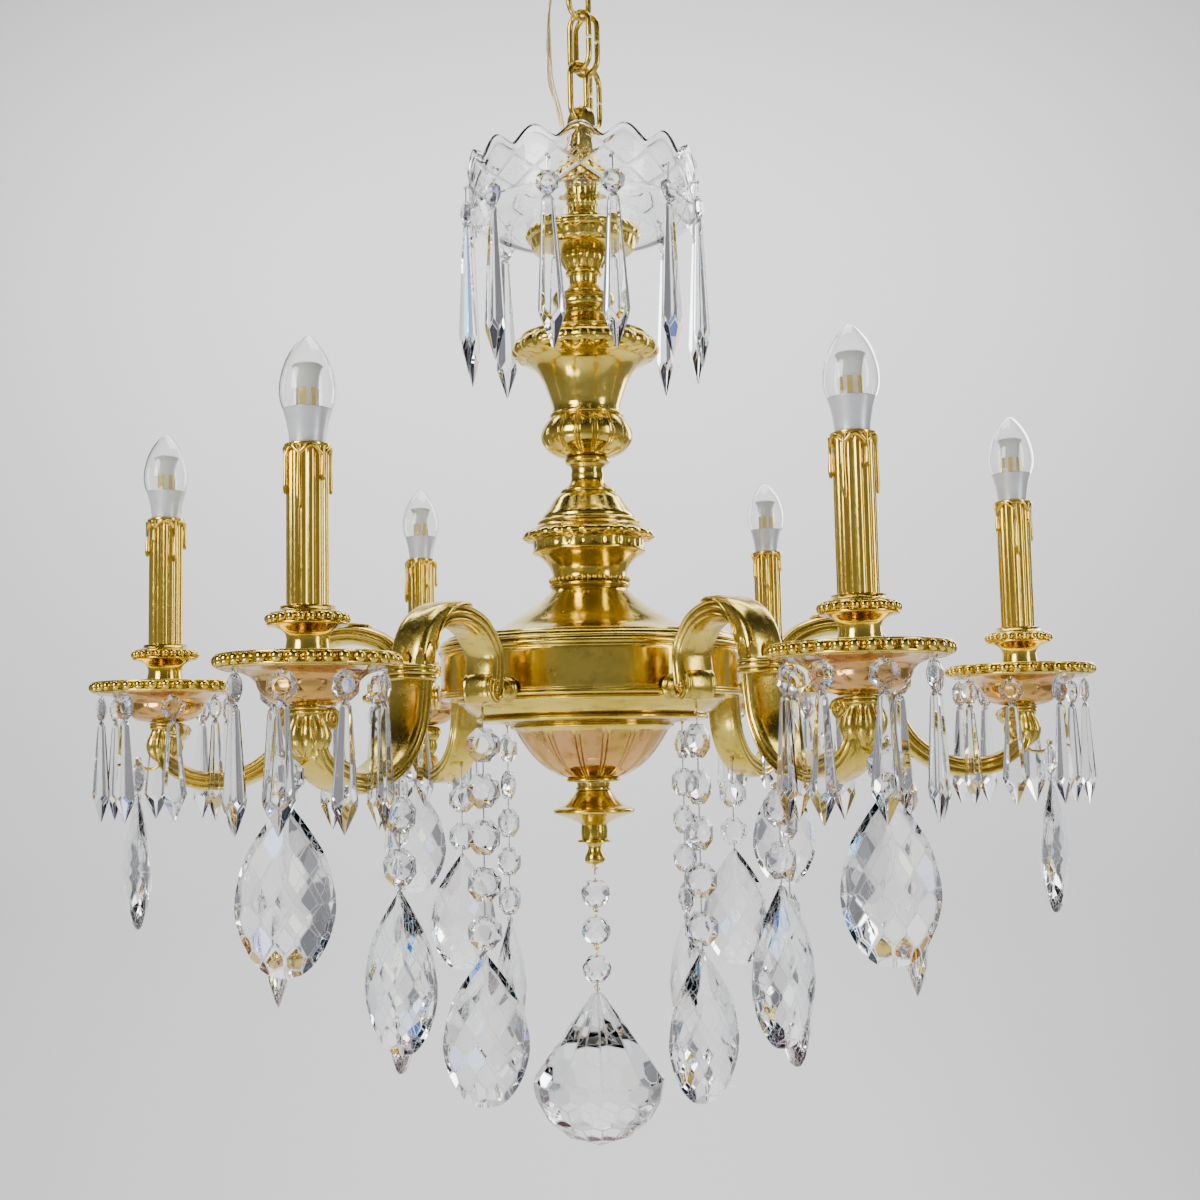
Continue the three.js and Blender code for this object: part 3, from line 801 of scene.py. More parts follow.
def hub_drum():
    drum = Outline().run((BORE, 0.2), (119, 0.2)).ring(123.2, 0.3, 3.2).ring(122.8, 3.3, 5.1)
    drum.run((122.9, 5.3), (122.6, 14), (122.6, 26), (122.9, 35.6), steps=4)
    drum.ring(122.8, 35.8, 37.5).ring(123, 37.6, 41.9)
    drum.run((120.5, 42), (120.5, 4), (BORE, 4))
    return turned(drum, 240, closed=True)


def bowl():
    """The coppery bowl under the hub, with paired grooves and a brass ogee rim."""
    shell = Outline().run((BORE, -67.1), (20, -67.1)).ring(20.2, -67, -63.6)
    shell.run((22.4, -63.2), (27.6, -61.4), (38.6, -55), (48.6, -45.8), (56, -35.8), (60.8, -28),
              (63.6, -23.6), steps=7, lobes=16, depth=1.3, cut="panel", kind=1)
    shell.run((63.6, -23.6), (64.6, -23.4)).ring(65.4, -23.4, -20.8)
    shell.run((66.6, -20.6), (75, -19.2), (84, -18.6), steps=4)
    shell.run((84, -18.6), (91, -18.4), (94.2, -17.4), (94.6, -15.6), (93, -14.2), steps=4)
    shell.run((93, -14.2), (97.6, -11.6), (102, -8), (105, -4.6), (107, -3.2), steps=4)
    shell.ring(107.6, -3.2, -0.3)
    shell.run((107.6, -0.1), (103, -3.8), (91.5, -14.8), (68, -19.8), (54.6, -33.8), (37.5, -52.2),
              (20, -64.4), (BORE, -64.4))
    return turned(shell, 704, closed=True)


def finial():
    drop = Outline()
    drop.run((0, -133.5), (3.4, -133.3), (7, -132.2), (8.3, -129.8), (7.7, -126.6), (5.8, -122.8),
             (5.2, -119.6), (6.6, -116.8), steps=4)
    drop.run((7, -116.4), (13.2, -115.6), (13.8, -114.4), (13, -113.4), (10.8, -112.8), steps=3)
    drop.run((10.4, -112.6), (10.9, -107), (10.4, -101.8), steps=4)
    drop.run((11, -101.2), (14, -99.2), (20, -96.6), (26, -94.4), (31, -92.6), steps=4)
    drop.ring(31.4, -92.4, -88.6)
    drop.run((31.4, -88.4), (27, -86.6), (21, -82.6), (16.6, -78.4), (14, -74.6), steps=4)
    drop.ring(12.6, -74.4, -70.8).run((13.2, -70.6), (13.7, -67.5), (0, -67.5))
    return turned(drop, 200)


SCALLOPS = 16
CROWN_PRISMS = 12
CROWN_FOOT = 404  # where the crown's wall rises from its floor
CROWN_R = 95.0
DIAMOND = 26  # the height of a cut diamond
DIAMOND_MIDDLE = 417


def swell(level, low, span):
    """Rises from nought at `low` to one, and falls back over that span."""
    return math.sin(math.pi * min(1, max(0, (level - low) / span)))


def glass_crown():
    """A scalloped glass dish. Its wall is cut in crossed diamonds, some of them hatched."""
    segments = 512
    theta = np.arange(segments) * (2 * math.pi / segments)
    rim = 440.5 + 11.5 * (0.5 + 0.5 * np.cos(SCALLOPS * theta)) ** 0.7
    floor = smooth([(14, 392.3), (46, 392.3), (66, 393), (82, 395.6), (91, 399.4), (94.6, CROWN_FOOT)], 4)
    inner_floor = smooth([(91, 406.5), (88, 403), (80, 399.8), (66, 397), (46, 396.3), (14, 396.3)], 4)

    def grooves(height, finer):
        """Sharp grooves along both slanting families of lines, `finer` to each diamond."""
        depths = []
        for hand in (1, -1):
            slant = hand * finer / DIAMOND
            phase = wrapped(finer * SCALLOPS * theta + slant * (height - DIAMOND_MIDDLE) * 2 * math.pi)
            depths.append(np.maximum(0, 1 - np.abs(phase) / 0.42))
        return np.maximum(*depths)

    rows = [ring_points(theta, r, z) for r, z in floor]
    ground = [np.zeros(segments, bool)] * len(rows)
    for level in np.concatenate([np.linspace(0, 0.62, 30), np.linspace(0.66, 1, 8)]):
        height = CROWN_FOOT + level * (rim - CROWN_FOOT)
        window = np.clip((height - 403.5) / 1.5, 0, 1) * np.clip((430.5 - height) / 1.5, 0, 1)
        across = (height - DIAMOND_MIDDLE) * 2 * math.pi / DIAMOND
        hatched = np.cos(SCALLOPS * theta) * np.cos(across) < -0.25
        cuts = np.maximum(0.85 * grooves(height, 1), 0.45 * hatched * grooves(height, 6))
        ground.append(window * cuts > 0.22)
        radius = CROWN_R + 1.2 * level + swell(level, 0.82, 0.2) - window * cuts
        rows.append(ring_points(theta, radius, height))
    for level in (1.0, 0.95, 0.88, 0.75, 0.5, 0.25, 0.08):
        height = 406.5 + level * (rim - 0.8 * level - 406.5)
        radius = 90.8 + 1.5 * level - 1.2 * swell(level, 0.78, 0.25)
        rows.append(ring_points(theta, radius, height))
    rows += [ring_points(theta, r, z) for r, z in inner_floor]
    ground += [np.zeros(segments, bool)] * (len(rows) - len(ground))
    kinds = np.concatenate(ground).astype(int)
    return Part(np.concatenate(rows), grid_faces(len(rows), segments, closed_rows=True), kinds)


def make_column():
    piece("threaded_rod", tie_rod(), [STEEL], "fixture", ["tie_rod"])
    for name, shape, finish, node in [
            ("bell_cap", crown_cap, [BRASS], "crown_cap"),
            ("gallery_stem", upper_stem, [BRASS], "upper_stem"),
            ("vase_body", vase, [BRASS], "vase"),
            ("knop_stem", middle_stem, [BRASS], "middle_stem"),
            ("hub_lid", hub_cover, [BRASS], "hub_cover"),
            ("hub_band", hub_drum, [BRASS], "hub_drum"),
            ("fluted_bowl", bowl, [BRASS, COPPERY], "hub_bowl"),
            ("finial_drop", finial, [BRASS], "finial")]:
        piece(name, shape(), finish, "fixture", [node])
    piece("scalloped_crown", glass_crown(), [CROWN_GLASS, GROUND_EDGE], "fixture", ["glass_crown"],
          crease=30)


# ---------------------------------------------------------------- arms
ARM_PATH = [(155, 4), (153, 28), (166, 46), (182, 54), (200, 56.5), (218, 53), (232, 43), (240, 28),
            (242, 12), (244, -6), (248, -24), (257, -39), (271, -51), (288, -58.5), (306, -61.5), (324, -59),
            (339, -52), (348, -42), (350, -28)]
ARM_STEPS = 8
COLLAR_POINT = 8  # the arm path's point at the ringed collar
SHEATH_TOP_POINT = 3.3  # and where the leaf sheath begins near the top of the arch


def ribbed_section(half_width, half_thick):
    """A crowned face, a flank with three ribs, the other face and the other flank."""
    w = half_width
    t = half_thick
    quarter = [(0, t + 0.7), (0.3 * w, t + 0.6), (0.58 * w, t + 0.25), (0.8 * w, t - 0.45),
               (0.92 * w, t - 1.2), (0.99 * w, t - 2.1), (w, t - 3.0), (0.96 * w, t - 3.9),
               (0.88 * w, t - 4.5), (0.90 * w, 2.2), (0.97 * w, 1.5), (1.01 * w, 0.6)]
    right = quarter + [(x, -y) for x, y in quarter[::-1]]
    left = [(-x, y) for x, y in right[1:-1]][::-1]
    return np.array(right + left)


def leaf_section(half_width, half_thick):
    """A rounded oblong a little larger than the band it wraps."""
    angle = np.arange(36) * (2 * math.pi / 36) + math.pi / 2
    corner = 0.55
    across = half_width * np.sign(np.cos(angle)) * np.abs(np.cos(angle)) ** corner
    out = half_thick * np.sign(np.sin(angle)) * np.abs(np.sin(angle)) ** corner
    return np.stack([across, out], axis=1)


def leaf(length, width, thick):
    """A small pointed leaf with a raised middle, its foot at the origin, growing up and facing X."""
    rows = []
    for t in np.linspace(0, 1, 9):
        half = width / 2 * math.sin(math.pi * (0.28 + 0.72 * t)) ** 0.8 if t < 1 else 0.05
        lift = 1.2 * math.sin(math.pi * t)
        z = length * t
        curl = 1.5 * t ** 3
        ridge = (lift + curl + thick, 0, z)
        right = [(lift + curl + 0.3 * thick, half * 0.5, z), (curl + 0.5 * thick, half, z),
                 (curl - thick, 0.6 * half, z)]
        left = [(x, -y, z) for x, y, z in right[::-1]]
        rows.append([ridge, *right, *left])
    count = len(rows[0])
    last = count * (len(rows) - 1)
    faces = grid_faces(len(rows), count)
    faces += [tuple(range(count)), tuple(range(last, last + count))]
    return Part(np.array(rows), faces)


def spiral(outer, inner, turns, steps=44):
    """Points of a flat spiral in the XZ plane, from the rim in."""
    t = np.linspace(0, 1, steps)
    radius = outer + (inner - outer) * t ** 0.8
    angle = 2 * math.pi * turns * t
    return np.stack([radius * np.cos(angle), np.zeros(steps), radius * np.sin(angle)], axis=1)


def scroll_end(radius, half_width, start, turns, hand):
    """A scroll's rolled end about the Y axis, with a raised spiral and an eye on each flank."""
    outline = Outline()
    outline.run((0, -half_width), (radius * 0.8, -half_width), steps=4)
    outline.run((radius * 0.8, -half_width), (radius * 0.95, -half_width + 0.5), (radius, -half_width + 2),
                (radius * 0.97, -half_width + 3.4), (radius * 1.0, -half_width + 4.6), steps=3)
    outline.run((radius, -half_width + 4.6), (radius + 0.5, 0), (radius, half_width - 4.6), steps=4)
    outline.run((radius, half_width - 4.6), (radius * 0.97, half_width - 3.4), (radius, half_width - 2),
                (radius * 0.95, half_width - 0.5), (radius * 0.8, half_width), steps=3)
    outline.run((radius * 0.8, half_width), (0, half_width), steps=4)
    parts = [turned(outline, 56).spun(90, "X")]
    line = spiral(radius * 0.9, radius * 0.28, turns)
    thickness = np.linspace(1.5, 0.9, len(line))
    for side in (-1, 1):
        coil = tube(line, thickness, sides=10).scaled(hand, 1, 1).spun(start, "Y")
        parts.append(coil.moved(0, side * half_width, 0))
        eye = sphere(radius * 0.26, 8, 16).scaled(1, 0.6, 1)
        parts.append(eye.moved(0, side * half_width, 0))
    return joined(parts)


def leaf_sheath(path):
    """The smooth leaf that wraps the arch's outer half. Its upper edge runs slantwise and is rolled."""
    half_thick = 8.9
    section = leaf_section(15.4, half_thick)
    last = COLLAR_POINT * ARM_STEPS - 2
    start = SHEATH_TOP_POINT * ARM_STEPS
    slant = 3.7 * ARM_STEPS
    rows = 46
    index = np.arange(len(path))
    tangent = np.gradient(path, axis=0)
    tangent /= np.linalg.norm(tangent, axis=1)[:, None]
    points = np.empty((rows, len(section), 3))
    for j, (across, out) in enumerate(section):
        begin = start + slant * (1 - out / half_thick) / 2 + 2.2 * math.cos(math.pi * across / 7.7)
        along = begin + (last - begin) * np.linspace(0, 1, rows)
        r = np.interp(along, index, path[:, 0])
        z = np.interp(along, index, path[:, 1])
        tr = np.interp(along, index, tangent[:, 0])
        tz = np.interp(along, index, tangent[:, 1])
        lip = 0.5 * np.exp(-(np.linspace(0, 1, rows) / 0.035) ** 2)
        reach = out + math.copysign(1, out) * lip * min(1, abs(out) / 6)
        points[:, j, 0] = r - tz * reach
        points[:, j, 1] = across * (1 + lip / 15)
        points[:, j, 2] = z + tr * reach
    wrap = Part(points, grid_faces(rows, len(section)))
    rim = tube(points[0], 0.9, sides=10, closed=True)
    veins = []
    for j in (2, 4, 6, 12, 14, 16, 20, 22, 24, 30, 32, 34):
        run = smooth(points[[1, 5, 10, 15], j], 4)
        veins.append(tube(run, np.linspace(1.1, 0.15, len(run)), sides=8))
    return joined([wrap, rim] + veins)


def collar():
    """The ringed collar round the arm, with a wreath of small leaves above it."""
    rings = Outline().run((0, 7.4), (15.4, 7.4)).ring(15.6, 7.6, 10.8).ring(16, 10.9, 15.1)
    rings.ring(15.6, 15.2, 18.4).run((15.4, 18.6), (0, 18.6))
    tips = []
    for angle, length, width in [(0, 15, 11), (180, 15, 11), (62, 12, 8), (90, 17, 9), (118, 12, 8),
                                 (242, 12, 8), (270, 17, 9), (298, 12, 8)]:
        reach = 9.4 + 6.0 * abs(math.sin(math.radians(angle))) ** 1.5
        tips.append(leaf(length, width, 0.9).moved(reach, 0, 17).spun(angle))
    return joined([turned(rings, 64)] + tips)


def pan_stem():
    """The cast foliage stem that rises from the arm's end to the drip pan."""
    stem = Outline().run((0, -45), (7, -44))
    stem.run((7, -44), (12.6, -39), (15, -32.6), (14.2, -26.6), (11.4, -20.6), (10.6, -17.6),
             steps=5, lobes=9, depth=2.2)
    stem.ring(10.8, -17.4, -14.8).ring(11.2, -14.7, -12.4).run((0, -12.3), (0, -12.2))
    nipple = Outline().run((0, -13), (4.5, -13), (4.5, 51), (0, 51))
    return joined([turned(stem, 108), turned(nipple, 16)])


def hooks():
    """Bent wire hooks for the three strings under each arm."""
    outer = smooth([(350, 0, -44), (357, 0, -49), (365, 0, -49.5), (371, 0, -46), (372.4, 0, -41.5)], 6)
    inner = smooth([(157, 0, -9), (157, 0, -13), (155.4, 0, -16), (157, 0, -18.6), (159.4, 0, -16.6)], 5)
    middle = inner + (100, 0, -33.5)
    return [tube(outer, 1.2), tube(inner, 0.9), tube(middle, 0.9)]


def scroll_arm():
    path = smooth(ARM_PATH, ARM_STEPS)
    steps = len(path)
    ease = np.interp(np.arange(steps), [0, steps - 40, steps - 1], [1, 1, 0.8])
    band = banded(path, ribbed_section(14.3, 7.4), ease)
    boss = Outline().run((0, 0), (10, 0)).run((10, 0), (10.2, 1.6), (9, 3.4), steps=3).ring(8.6, 3.6, 6.4)
    boss.run((8.4, 6.6), (7.6, 12), (7.4, 18), (7.8, 26), steps=4).run((7.8, 27), (0, 27))
    parts = [band, turned(boss, 48).spun(90, "Y").moved(124.8, 0, 4)]
    parts.append(scroll_end(11.6, 12.8, 180, 1.35, 1).scaled(0.78, 1, 1).moved(156.8, 0, 4.4))
    parts.append(scroll_end(7.2, 11, 0, 1.1, -1).moved(338.6, 0, -20))
    parts.append(leaf_sheath(path))
    parts.append(collar().moved(242, 0, 0))
    parts.append(pan_stem().moved(CANDLE_R, 0, 0))
    parts += hooks()
    return joined(parts)


PAN_BEADS = 34
CUP_BEADS = 24


def drip_pan():
    """The pan under each candle: a coppery underside and a beaded brass rim."""
    pan = Outline().run((6.2, -12), (14, -12))
    pan.run((14, -11.9), (20, -10.8), (26, -7.6), (30.6, -2.4), (32.8, 3.4), steps=5, kind=1)
    pan.run((33.4, 4), (37, 7), (43, 9.4), (50, 10.8), (53.6, 11.3), steps=4, kind=1)
    pan.run((53.6, 11), (54.6, 11.6)).ring(56, 11.8, 13.8)
    pan.run((57.2, 13.9), (57.2, 18.7), lobes=PAN_BEADS, depth=3.0, cut="flute", fade=False)
    pan.ring(56.9, 18.8, 20.7)
    pan.run((55.4, 20.7), (52, 17), (46, 13.4), (38, 10.6), (33, 6), (29, 0), (24, -5), (19, -7.8), (6.2, -8),
            steps=2)
    return joined([turned(pan, 8 * PAN_BEADS, closed=True), bead_row(PAN_BEADS, 56.2, 16.3, 3.9)])


def candle_cup():
    cup = Outline().run((6.2, -7.7), (19.4, -7.7)).ring(19.4, -7.6, -4.4)
    cup.run((19.2, -4.2), (18.6, 2), (17.4, 9), (15.6, 18), (14, 26), (13.6, 31), (15, 34.8), (19, 37.4),
            (23, 38.6), steps=5)
    cup.ring(24.8, 38.8, 41)
    cup.run((24.6, 41.1), (24.6, 45.2), lobes=CUP_BEADS, depth=2.4, cut="flute", fade=False)
    cup.ring(23.8, 45.3, 46.9)
    cup.run((22.6, 47), (19, 48.4), (17.2, 50.4), (16.8, 51.5), (6.2, 51.5), steps=2)
    return joined([turned(cup, 8 * CUP_BEADS, closed=True), bead_row(CUP_BEADS, 24.2, 43.1, 3.1)])


def lampholder():
    holder = Outline().run((0, 51.8), (11.4, 51.8)).ring(10.6, 52, 54.2).run((11, 54.4), (11, 60))
    for i in range(8):
        z = 60 + i * 5
        holder.run((11.3, z), (11.3, z + 3)).run((10.6, z + 3.2), (10.6, z + 4.8))
    holder.run((11.4, 101), (11.4, 152.6)).ring(10.8, 152.7, 153.2)
    return turned(holder.run((8.2, 153.2), (8.2, 122), (0, 122)), 40)


SLEEVE_R = 13.4
WAX_TOP = 151.5


def on_sleeve(path, lift):
    """Points on the sleeve from (angle in degrees, height) pairs, that far out from its reeds."""
    radius = SLEEVE_R + lift
    return [(radius * math.cos(math.radians(a)), radius * math.sin(math.radians(a)), z) for a, z in path]


def wax_drip(angle, length, half_width):
    """One run of wax down the sleeve, thinner below its start and ending in a drop."""
    lean = chance.uniform(-3, 3)
    run = [(angle, 153), (angle, 149), (angle + lean, WAX_TOP - 0.45 * length),
           (angle + 0.5 * lean, WAX_TOP - length)]
    line = smooth(on_sleeve(run, 1.5), 8)
    share = np.interp(np.linspace(0, 1, len(line)), [0, 0.2, 0.6, 0.93, 1], [0.9, 0.75, 0.62, 1, 0.5])
    return tube(line, half_width * share, sides=12)


def wax_arch(angle, following):
    """The rolled edge of the wax between two drips."""
    near = 0.72 * angle + 0.28 * following
    far = 0.28 * angle + 0.72 * following
    middle = (angle + following) / 2
    arch = [(angle, 147.5), (near, 151.6), (middle, 153.2), (far, 151.6), (following, 147.5)]
    return tube(smooth(on_sleeve(arch, 1.2), 6), 1.3, sides=10)


def candle_sleeve(drips):
    """A reeded sleeve with wax run over its top. Each drip is an angle, a length and a half width."""
    segments = 168
    theta = np.arange(segments) * (2 * math.pi / segments)
    reeds = 13.6 - 1.1 * (1 - np.abs(np.cos(7 * theta)))
    angles = [drip[0] for drip in drips] + [drips[0][0] + 360]
    along = np.interp(np.degrees(theta), angles, np.arange(len(angles)), period=360)
    hem = 148.5 + 4.4 * np.sin(math.pi * (along % 1)) ** 0.7
    rows = []
    for height in np.concatenate([[51.8, 53, 90, 144], np.linspace(146, 152.6, 16)]):
        wax = np.clip((height - hem) / 0.7, 0, 1)
        radius = np.where(height > hem, np.maximum(reeds, 13.3) + wax, reeds)
        rows.append(ring_points(theta, radius, height))
    rim = [(14.6, 153.2), (15.1, 154.2), (14.9, 155.2), (14.2, 155.7)]
    bore = [(12.2, 155.7), (12.2, 51.8)]
    rows += [ring_points(theta, radius, height) for radius, height in rim + bore]
    parts = [Part(np.concatenate(rows), grid_faces(len(rows), segments, closed_rows=True))]
    for drip, following in zip(drips, angles[1:]):
        parts.append(wax_drip(*drip))
        parts.append(wax_arch(drip[0], following))
    return parts


def bulb():
    """A clear candle bulb: thin glass, a pale collar, and the light guide and screw base inside."""
    glass = Outline()
    glass.run((15.6, 178), (17.4, 182.6), (18.4, 189.6), (17.8, 198), (15.4, 207.4), (11.6, 215.6),
              (6.6, 222.4), (2.6, 226.2), (0, 227.2), steps=5)
    glass.run((0, 226.3), (2.4, 225.3), (6.1, 221.6), (10.9, 215), (14.6, 207), (17, 197.8), (17.6, 189.6),
              (16.6, 182.8), (14.8, 178), steps=5)
    collar_ring = Outline().run((0, 156), (10.6, 156))
    collar_ring.run((10.6, 156), (11.6, 156.5), (11.7, 158), (12.2, 163), (13.4, 170), (15.2, 177),
                    (15.7, 178.4), steps=4)
    collar_ring.run((15.7, 178.4), (14.6, 178.8), (14, 178), (0, 178))
    guide = Outline().run((0, 178), (6.7, 178), (6.5, 192.6), (7, 193))
    guide.run((7, 193), (7.5, 198), (8.4, 203.5), (10, 206.8), steps=4)
    guide.run((10, 206.8), (8.4, 208), (4, 208.8), (0, 209), steps=3)
    strip = banded([(6.75, 179), (6.75, 192)], [(-1.7, -0.4), (1.7, -0.4), (1.7, 0.35), (-1.7, 0.35)])
    base = Outline().run((0, 125), (3, 125), (3.4, 127), (5.4, 129))
    for i in range(9):
        z = 130 + 2.6 * i
        base.run((6.0, z), (6.7, z + 0.9), (6.7, z + 1.4), (6.0, z + 2.3))
    base.run((6.6, 153.6), (6.8, 156.2), (0, 156.2))
    return [turned(glass, 64, closed=True), turned(collar_ring, 64).of(1), turned(guide, 40).of(2),
            around(strip, 6, 15).of(3), turned(base, 40).of(4)]


# each drip's angle in degrees, length and half width
DRIP_SETS = [
    [(10, 28, 1.9), (75, 17, 1.6), (128, 35, 1.9), (205, 22, 1.8), (262, 38, 2.0), (318, 15, 1.6)],
    [(25, 36, 1.9), (88, 20, 1.7), (150, 28, 1.8), (214, 39, 2.0), (275, 16, 1.6), (333, 26, 1.8)],
    [(0, 22, 1.8), (62, 37, 1.9), (118, 15, 1.6), (187, 31, 1.9), (240, 24, 1.7), (300, 40, 2.0)],
]


def make_arms():
    arm = scroll_arm()
    pan = drip_pan().moved(CANDLE_R, 0, 0)
    cup = candle_cup().moved(CANDLE_R, 0, 0)
    holder = lampholder().moved(CANDLE_R, 0, 0)
    lamp = [part.moved(CANDLE_R, 0, 0) for part in bulb()]
    for i in range(ARM_COUNT):
        n = i + 1
        turn = i * 360 / ARM_COUNT
        piece(f"scroll_arm_{n}", arm.spun(turn), [CAST_BRASS], "fixture", [f"arm_{n}"], crease=32)
        piece(f"beaded_pan_{n}", pan.spun(turn), [BRASS, COPPERY], "fixture", [f"drip_pan_{n}"])
        piece(f"beaded_cup_{n}", cup.spun(turn), [BRASS], "fixture", [f"candle_cup_{n}"])
        piece(f"holder_{n}", holder.spun(turn), [HOLDER], "fixture", [f"lampholder_{n}"])
        drips = [(a + chance.uniform(-9, 9), length * chance.uniform(0.85, 1.15), w)
                 for a, length, w in DRIP_SETS[i % len(DRIP_SETS)]]
        sleeve = [p.moved(CANDLE_R, 0, 0).spun(turn) for p in candle_sleeve(drips)]
        piece(f"sleeve_{n}", sleeve, [GILT], "fixture", [f"candle_sleeve_{n}"])
        lit = [part.spun(turn) for part in lamp]
        piece(f"candle_bulb_{n}", lit,
              [BULB_GLASS, COLLAR_WHITE, GUIDE_WHITE, LED_YELLOW, STEEL], f"bulb_{n}",
              [f"bulb_{n}"])


# ---------------------------------------------------------------- crystals
def pin(high, low, wire=0.55):
    """A slightly bent wire pin between two stones."""
    bow = chance.uniform(-0.25, 0.25)
    path = smooth([(0, 0, high), (bow, bow, (high + low) / 2), (0, 0, low)], 4)
    return tube(path, wire, sides=8).of(1)


def bead_at(gem, width, height, yaw, sway=6.0):
    """A bead of that width, turned to `yaw` and tipped a little by chance."""
    tipped = gem.scaled(width, width, width).spun(chance.uniform(-sway, sway), "X")
    return tipped.spun(yaw).moved(0, 0, height)


def string_of(gems, top, beads, width, almond_top, facing, stone_yaw):
    """A hanging string at the origin: octagon beads at those heights, pinned together, over an almond."""
    parts = [wire_ring(2.2, 0.5).moved(0, 0, top - 1.5).of(1)]
    edge = top - 3
    for height in beads:
        parts.append(pin(edge, height + width * 0.4))
        parts.append(bead_at(gems["octagon"], width, height, facing + chance.uniform(-15, 15)))
        edge = height - width * 0.4
    parts.append(pin(edge, almond_top - 3))
    parts.append(wire_ring(2.4, 0.45).spun(stone_yaw).moved(0, 0, almond_top - 2.2).of(1))
    parts.append(gems["almond"].spun(stone_yaw).moved(0, 0, almond_top))
    return joined(parts)


def prism_drop(gem, octagon, hook, bead, width, facing):
    """One short drop at the origin: an octagon bead pinned over a spear."""
    parts = [pin(hook, bead + width * 0.4), bead_at(octagon, width, bead, facing, 10)]
    spear_top = bead - width * 0.5 - 0.8
    parts.append(pin(bead - width * 0.4, spear_top - 1.6))
    parts.append(wire_ring(1.9, 0.4).spun(facing + 90).moved(0, 0, spear_top - 0.6).of(1))
    lean = gem.spun(chance.uniform(-1.5, 1.5), "X").spun(facing + chance.uniform(-10, 10))
    parts.append(lean.moved(0, 0, spear_top))
    return joined(parts)


# how far each arm's stones are turned from facing straight out, in degrees
STONE_TURNS = {
    "inner": [18, -32, 40, -12, 30, 4],
    "middle": [-12, 14, -10, 12, -2, 12],
    "outer": [-31, 20, -14, 31, 30, -28],
}


CROWN_HOLE = 424  # the height of the holes in the crown that its prisms hang from


def make_crystals():
    octagon = octagon_bead()
    gems = {"octagon": octagon, "almond": almond()}
    pan_spear = spear(80.5, 17.6, 7.4, 60.5, 0.62)
    crown_spear = spear(125, 19.6, 8.0, 95, 0.6)
    finish = [CRYSTAL, STEEL, GROUND_EDGE]
    inner_beads = [-37, -70.5, -104, -138, -172.5]
    for i in range(ARM_COUNT):
        n = i + 1
        turn = i * 360 / ARM_COUNT
        strings = [
            ("inner", 157.0, -15.0, inner_beads, 25.0, -187.5, f"inner_pendant_{n}"),
            ("middle", 257.0, -51.0, [-84, -119], 25.0, -134.5, "fixture"),
            ("outer", 371.5, -41.0, [-56], 24.0, -70.0, "fixture"),
        ]
        for label, reach, top, beads, width, almond_top, body in strings:
            yaw = STONE_TURNS[label][i]
            made = string_of(gems, top, beads, width, almond_top, 0.7 * yaw, yaw)
            replaced = [f"inner_pendant_{n}"] if label == "inner" else []
            piece(f"{label}_string_{n}", made.moved(reach, 0, 0).spun(turn), finish, body, replaced)
        drops = []
        for k in range(8):
            drop = prism_drop(pan_spear, octagon, 9.5, -1.2, 18.5, chance.uniform(-24, 24))
            drops.append(drop.moved(50, 0, 0).spun(22.5 + k * 45).moved(CANDLE_R, 0, 0))
        piece(f"pan_prisms_{n}", joined(drops).spun(turn), finish, "fixture")
    drops = []
    wall_pin = tube([(-7, 0, 0), (0, 0, 0)], 0.5)
    stud = joined([sphere(1.7), sphere(1.5).moved(-7, 0, 0), wall_pin]).moved(0, 0, CROWN_HOLE).of(1)
    for k in range(CROWN_PRISMS):
        drop = prism_drop(crown_spear, octagon, CROWN_HOLE, 402, 18.5, chance.uniform(-20, 20))
        drops.append(joined([drop, stud]).moved(99.5, 0, 0).spun(15 + k * 360 / CROWN_PRISMS))
    piece("crown_prisms", drops, finish, "fixture")
    make_ball_drop()


def make_ball_drop():
    """Three round beads on gilt eyes, over the faceted ball."""
    ball_drop = []
    edge = -133.6
    for height in (-156.8, -186.3, -216.7):
        for k, z in enumerate((edge - 2, height + 11.2 + 2)):
            ball_drop.append(wire_ring(1.9, 0.5).spun(90 * k).moved(0, 0, z).of(1))
        ball_drop.append(pin(edge, height + 10))
        ball_drop.append(round_bead(11.2).spun(chance.uniform(0, 36)).moved(0, 0, height))
        edge = height - 10.8
    ball_drop.append(pin(edge, -237))
    ball_drop.append(wire_ring(2.1, 0.5).moved(0, 0, -231.6).of(1))
    ball_drop.append(faceted_ball(52).spun(4).moved(0, 0, -300))
    piece("ball_drop", ball_drop, [CRYSTAL, BRASS, GROUND_EDGE], "ball_pendant", ["ball_pendant"])


# ---------------------------------------------------------------- studio
def make_camera():
    """The camera, at the photograph's viewing angle."""
    data = bpy.data.cameras.new("camera")
    data.lens = 48.8
    data.sensor_width = 36.0
    camera = bpy.data.objects.new("camera", data)
    bpy.context.scene.collection.objects.link(camera)
    yaw = math.radians(-0.511)
    pitch = math.radians(5.607)
    roll = math.radians(-1.1235)
    ahead = Vector((math.sin(yaw) * math.cos(pitch), math.cos(yaw) * math.cos(pitch), math.sin(pitch)))
    level_right = Vector((math.cos(yaw), -math.sin(yaw), 0))
    level_up = level_right.cross(ahead)
    right = level_right * math.cos(roll) + level_up * math.sin(roll)
    up = level_up * math.cos(roll) - level_right * math.sin(roll)
    turn = Matrix((right, up, -ahead)).transposed()
    eye = Vector((0.0201, -1.3315, HUB_LEVEL - 0.0494))
    camera.matrix_world = Matrix.Translation(eye) @ turn.to_4x4()
    bpy.context.scene.camera = camera


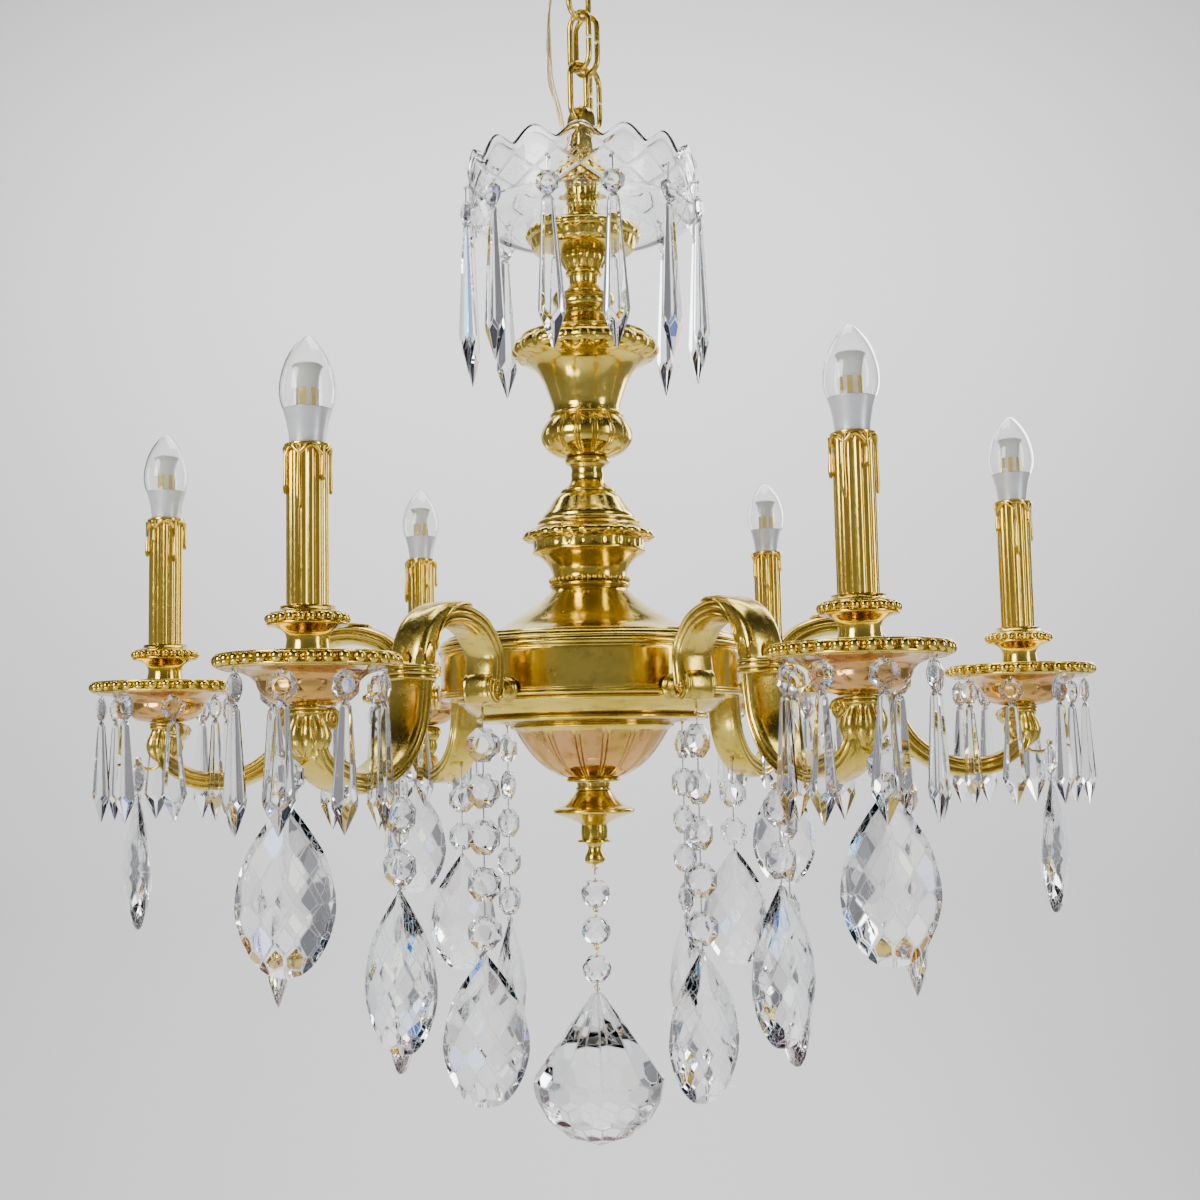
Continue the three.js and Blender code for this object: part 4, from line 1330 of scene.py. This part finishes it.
def light(name, place, target, size, power, colour=(1, 1, 1)):
    data = bpy.data.lights.new(name, "AREA")
    data.shape = "RECTANGLE"
    data.size, data.size_y = size
    data.energy = power
    data.color = colour
    lamp = bpy.data.objects.new(name, data)
    toward = Vector(target) - Vector(place)
    lamp.matrix_world = Matrix.Translation(place) @ toward.to_track_quat("-Z", "Y").to_matrix().to_4x4()
    bpy.context.scene.collection.objects.link(lamp)


def make_studio():
    """A pale floor that curves up into a wall behind, soft lights and a grey surround, darker above."""
    floor_z = -1.75
    wall_y = 2.4
    bend = 0.7
    profile = [(-3.2, floor_z), (wall_y - bend, floor_z)]
    profile += [(wall_y - bend + bend * math.sin(a), floor_z + bend - bend * math.cos(a))
                for a in np.linspace(0.1, math.pi / 2, 14)]
    profile.append((wall_y, 1.35))
    points = [(x, y, z) for y, z in profile for x in (-1.8, 1.8)]
    faces = [(2 * i, 2 * i + 1, 2 * i + 3, 2 * i + 2) for i in range(len(profile) - 1)]
    mesh = bpy.data.meshes.new("backdrop")
    mesh.from_pydata(points, [], faces)
    mesh.polygons.foreach_set("use_smooth", [True] * len(faces))
    backdrop = bpy.data.objects.new("backdrop", mesh)
    g = Graph("paper")
    paper = g.mix(g.noise(1.2, 2), (0.78, 0.78, 0.785), (0.82, 0.82, 0.82))
    mesh.materials.append(g.set(Base_Color=paper, Roughness=0.9))
    bpy.context.scene.collection.objects.link(backdrop)
    world = bpy.data.worlds.new("surround")
    world.use_nodes = True
    tree = world.node_tree
    upward = tree.nodes.new("ShaderNodeSeparateXYZ")
    tree.links.new(tree.nodes.new("ShaderNodeTexCoord").outputs["Generated"], upward.inputs["Vector"])
    shades = tree.nodes.new("ShaderNodeValToRGB")
    tree.links.new(upward.outputs["Z"], shades.inputs["Fac"])
    tree.links.new(shades.outputs["Color"], tree.nodes["Background"].inputs["Color"])
    shades.color_ramp.elements[0].color = (0.30, 0.30, 0.32, 1)
    shades.color_ramp.elements[1].color = (0.03, 0.03, 0.035, 1)
    shades.color_ramp.elements[1].position = 0.75
    bpy.context.scene.world = world
    middle = (0, 0, -0.7)
    light("key", (-1.5, -1.6, 0.3), middle, (0.8, 1.1), 46, (1.0, 0.985, 0.96))
    light("fill", (1.8, -1.2, -0.2), middle, (0.4, 1.6), 18, (0.97, 0.985, 1.0))
    light("low", (-0.9, -1.2, -1.5), middle, (0.9, 0.3), 9)
    light("top", (0.1, 0.2, 0.9), (0, 0, -0.6), (1.0, 1.0), 16)
    light("rim", (1.2, 1.3, 0.0), middle, (0.5, 1.3), 16)
    light("wash", (0, 1.0, 0.9), (0, 2.3, -0.9), (3.0, 0.8), 70)


make_camera()
make_studio()
make_suspension()
make_column()
make_arms()
make_crystals()
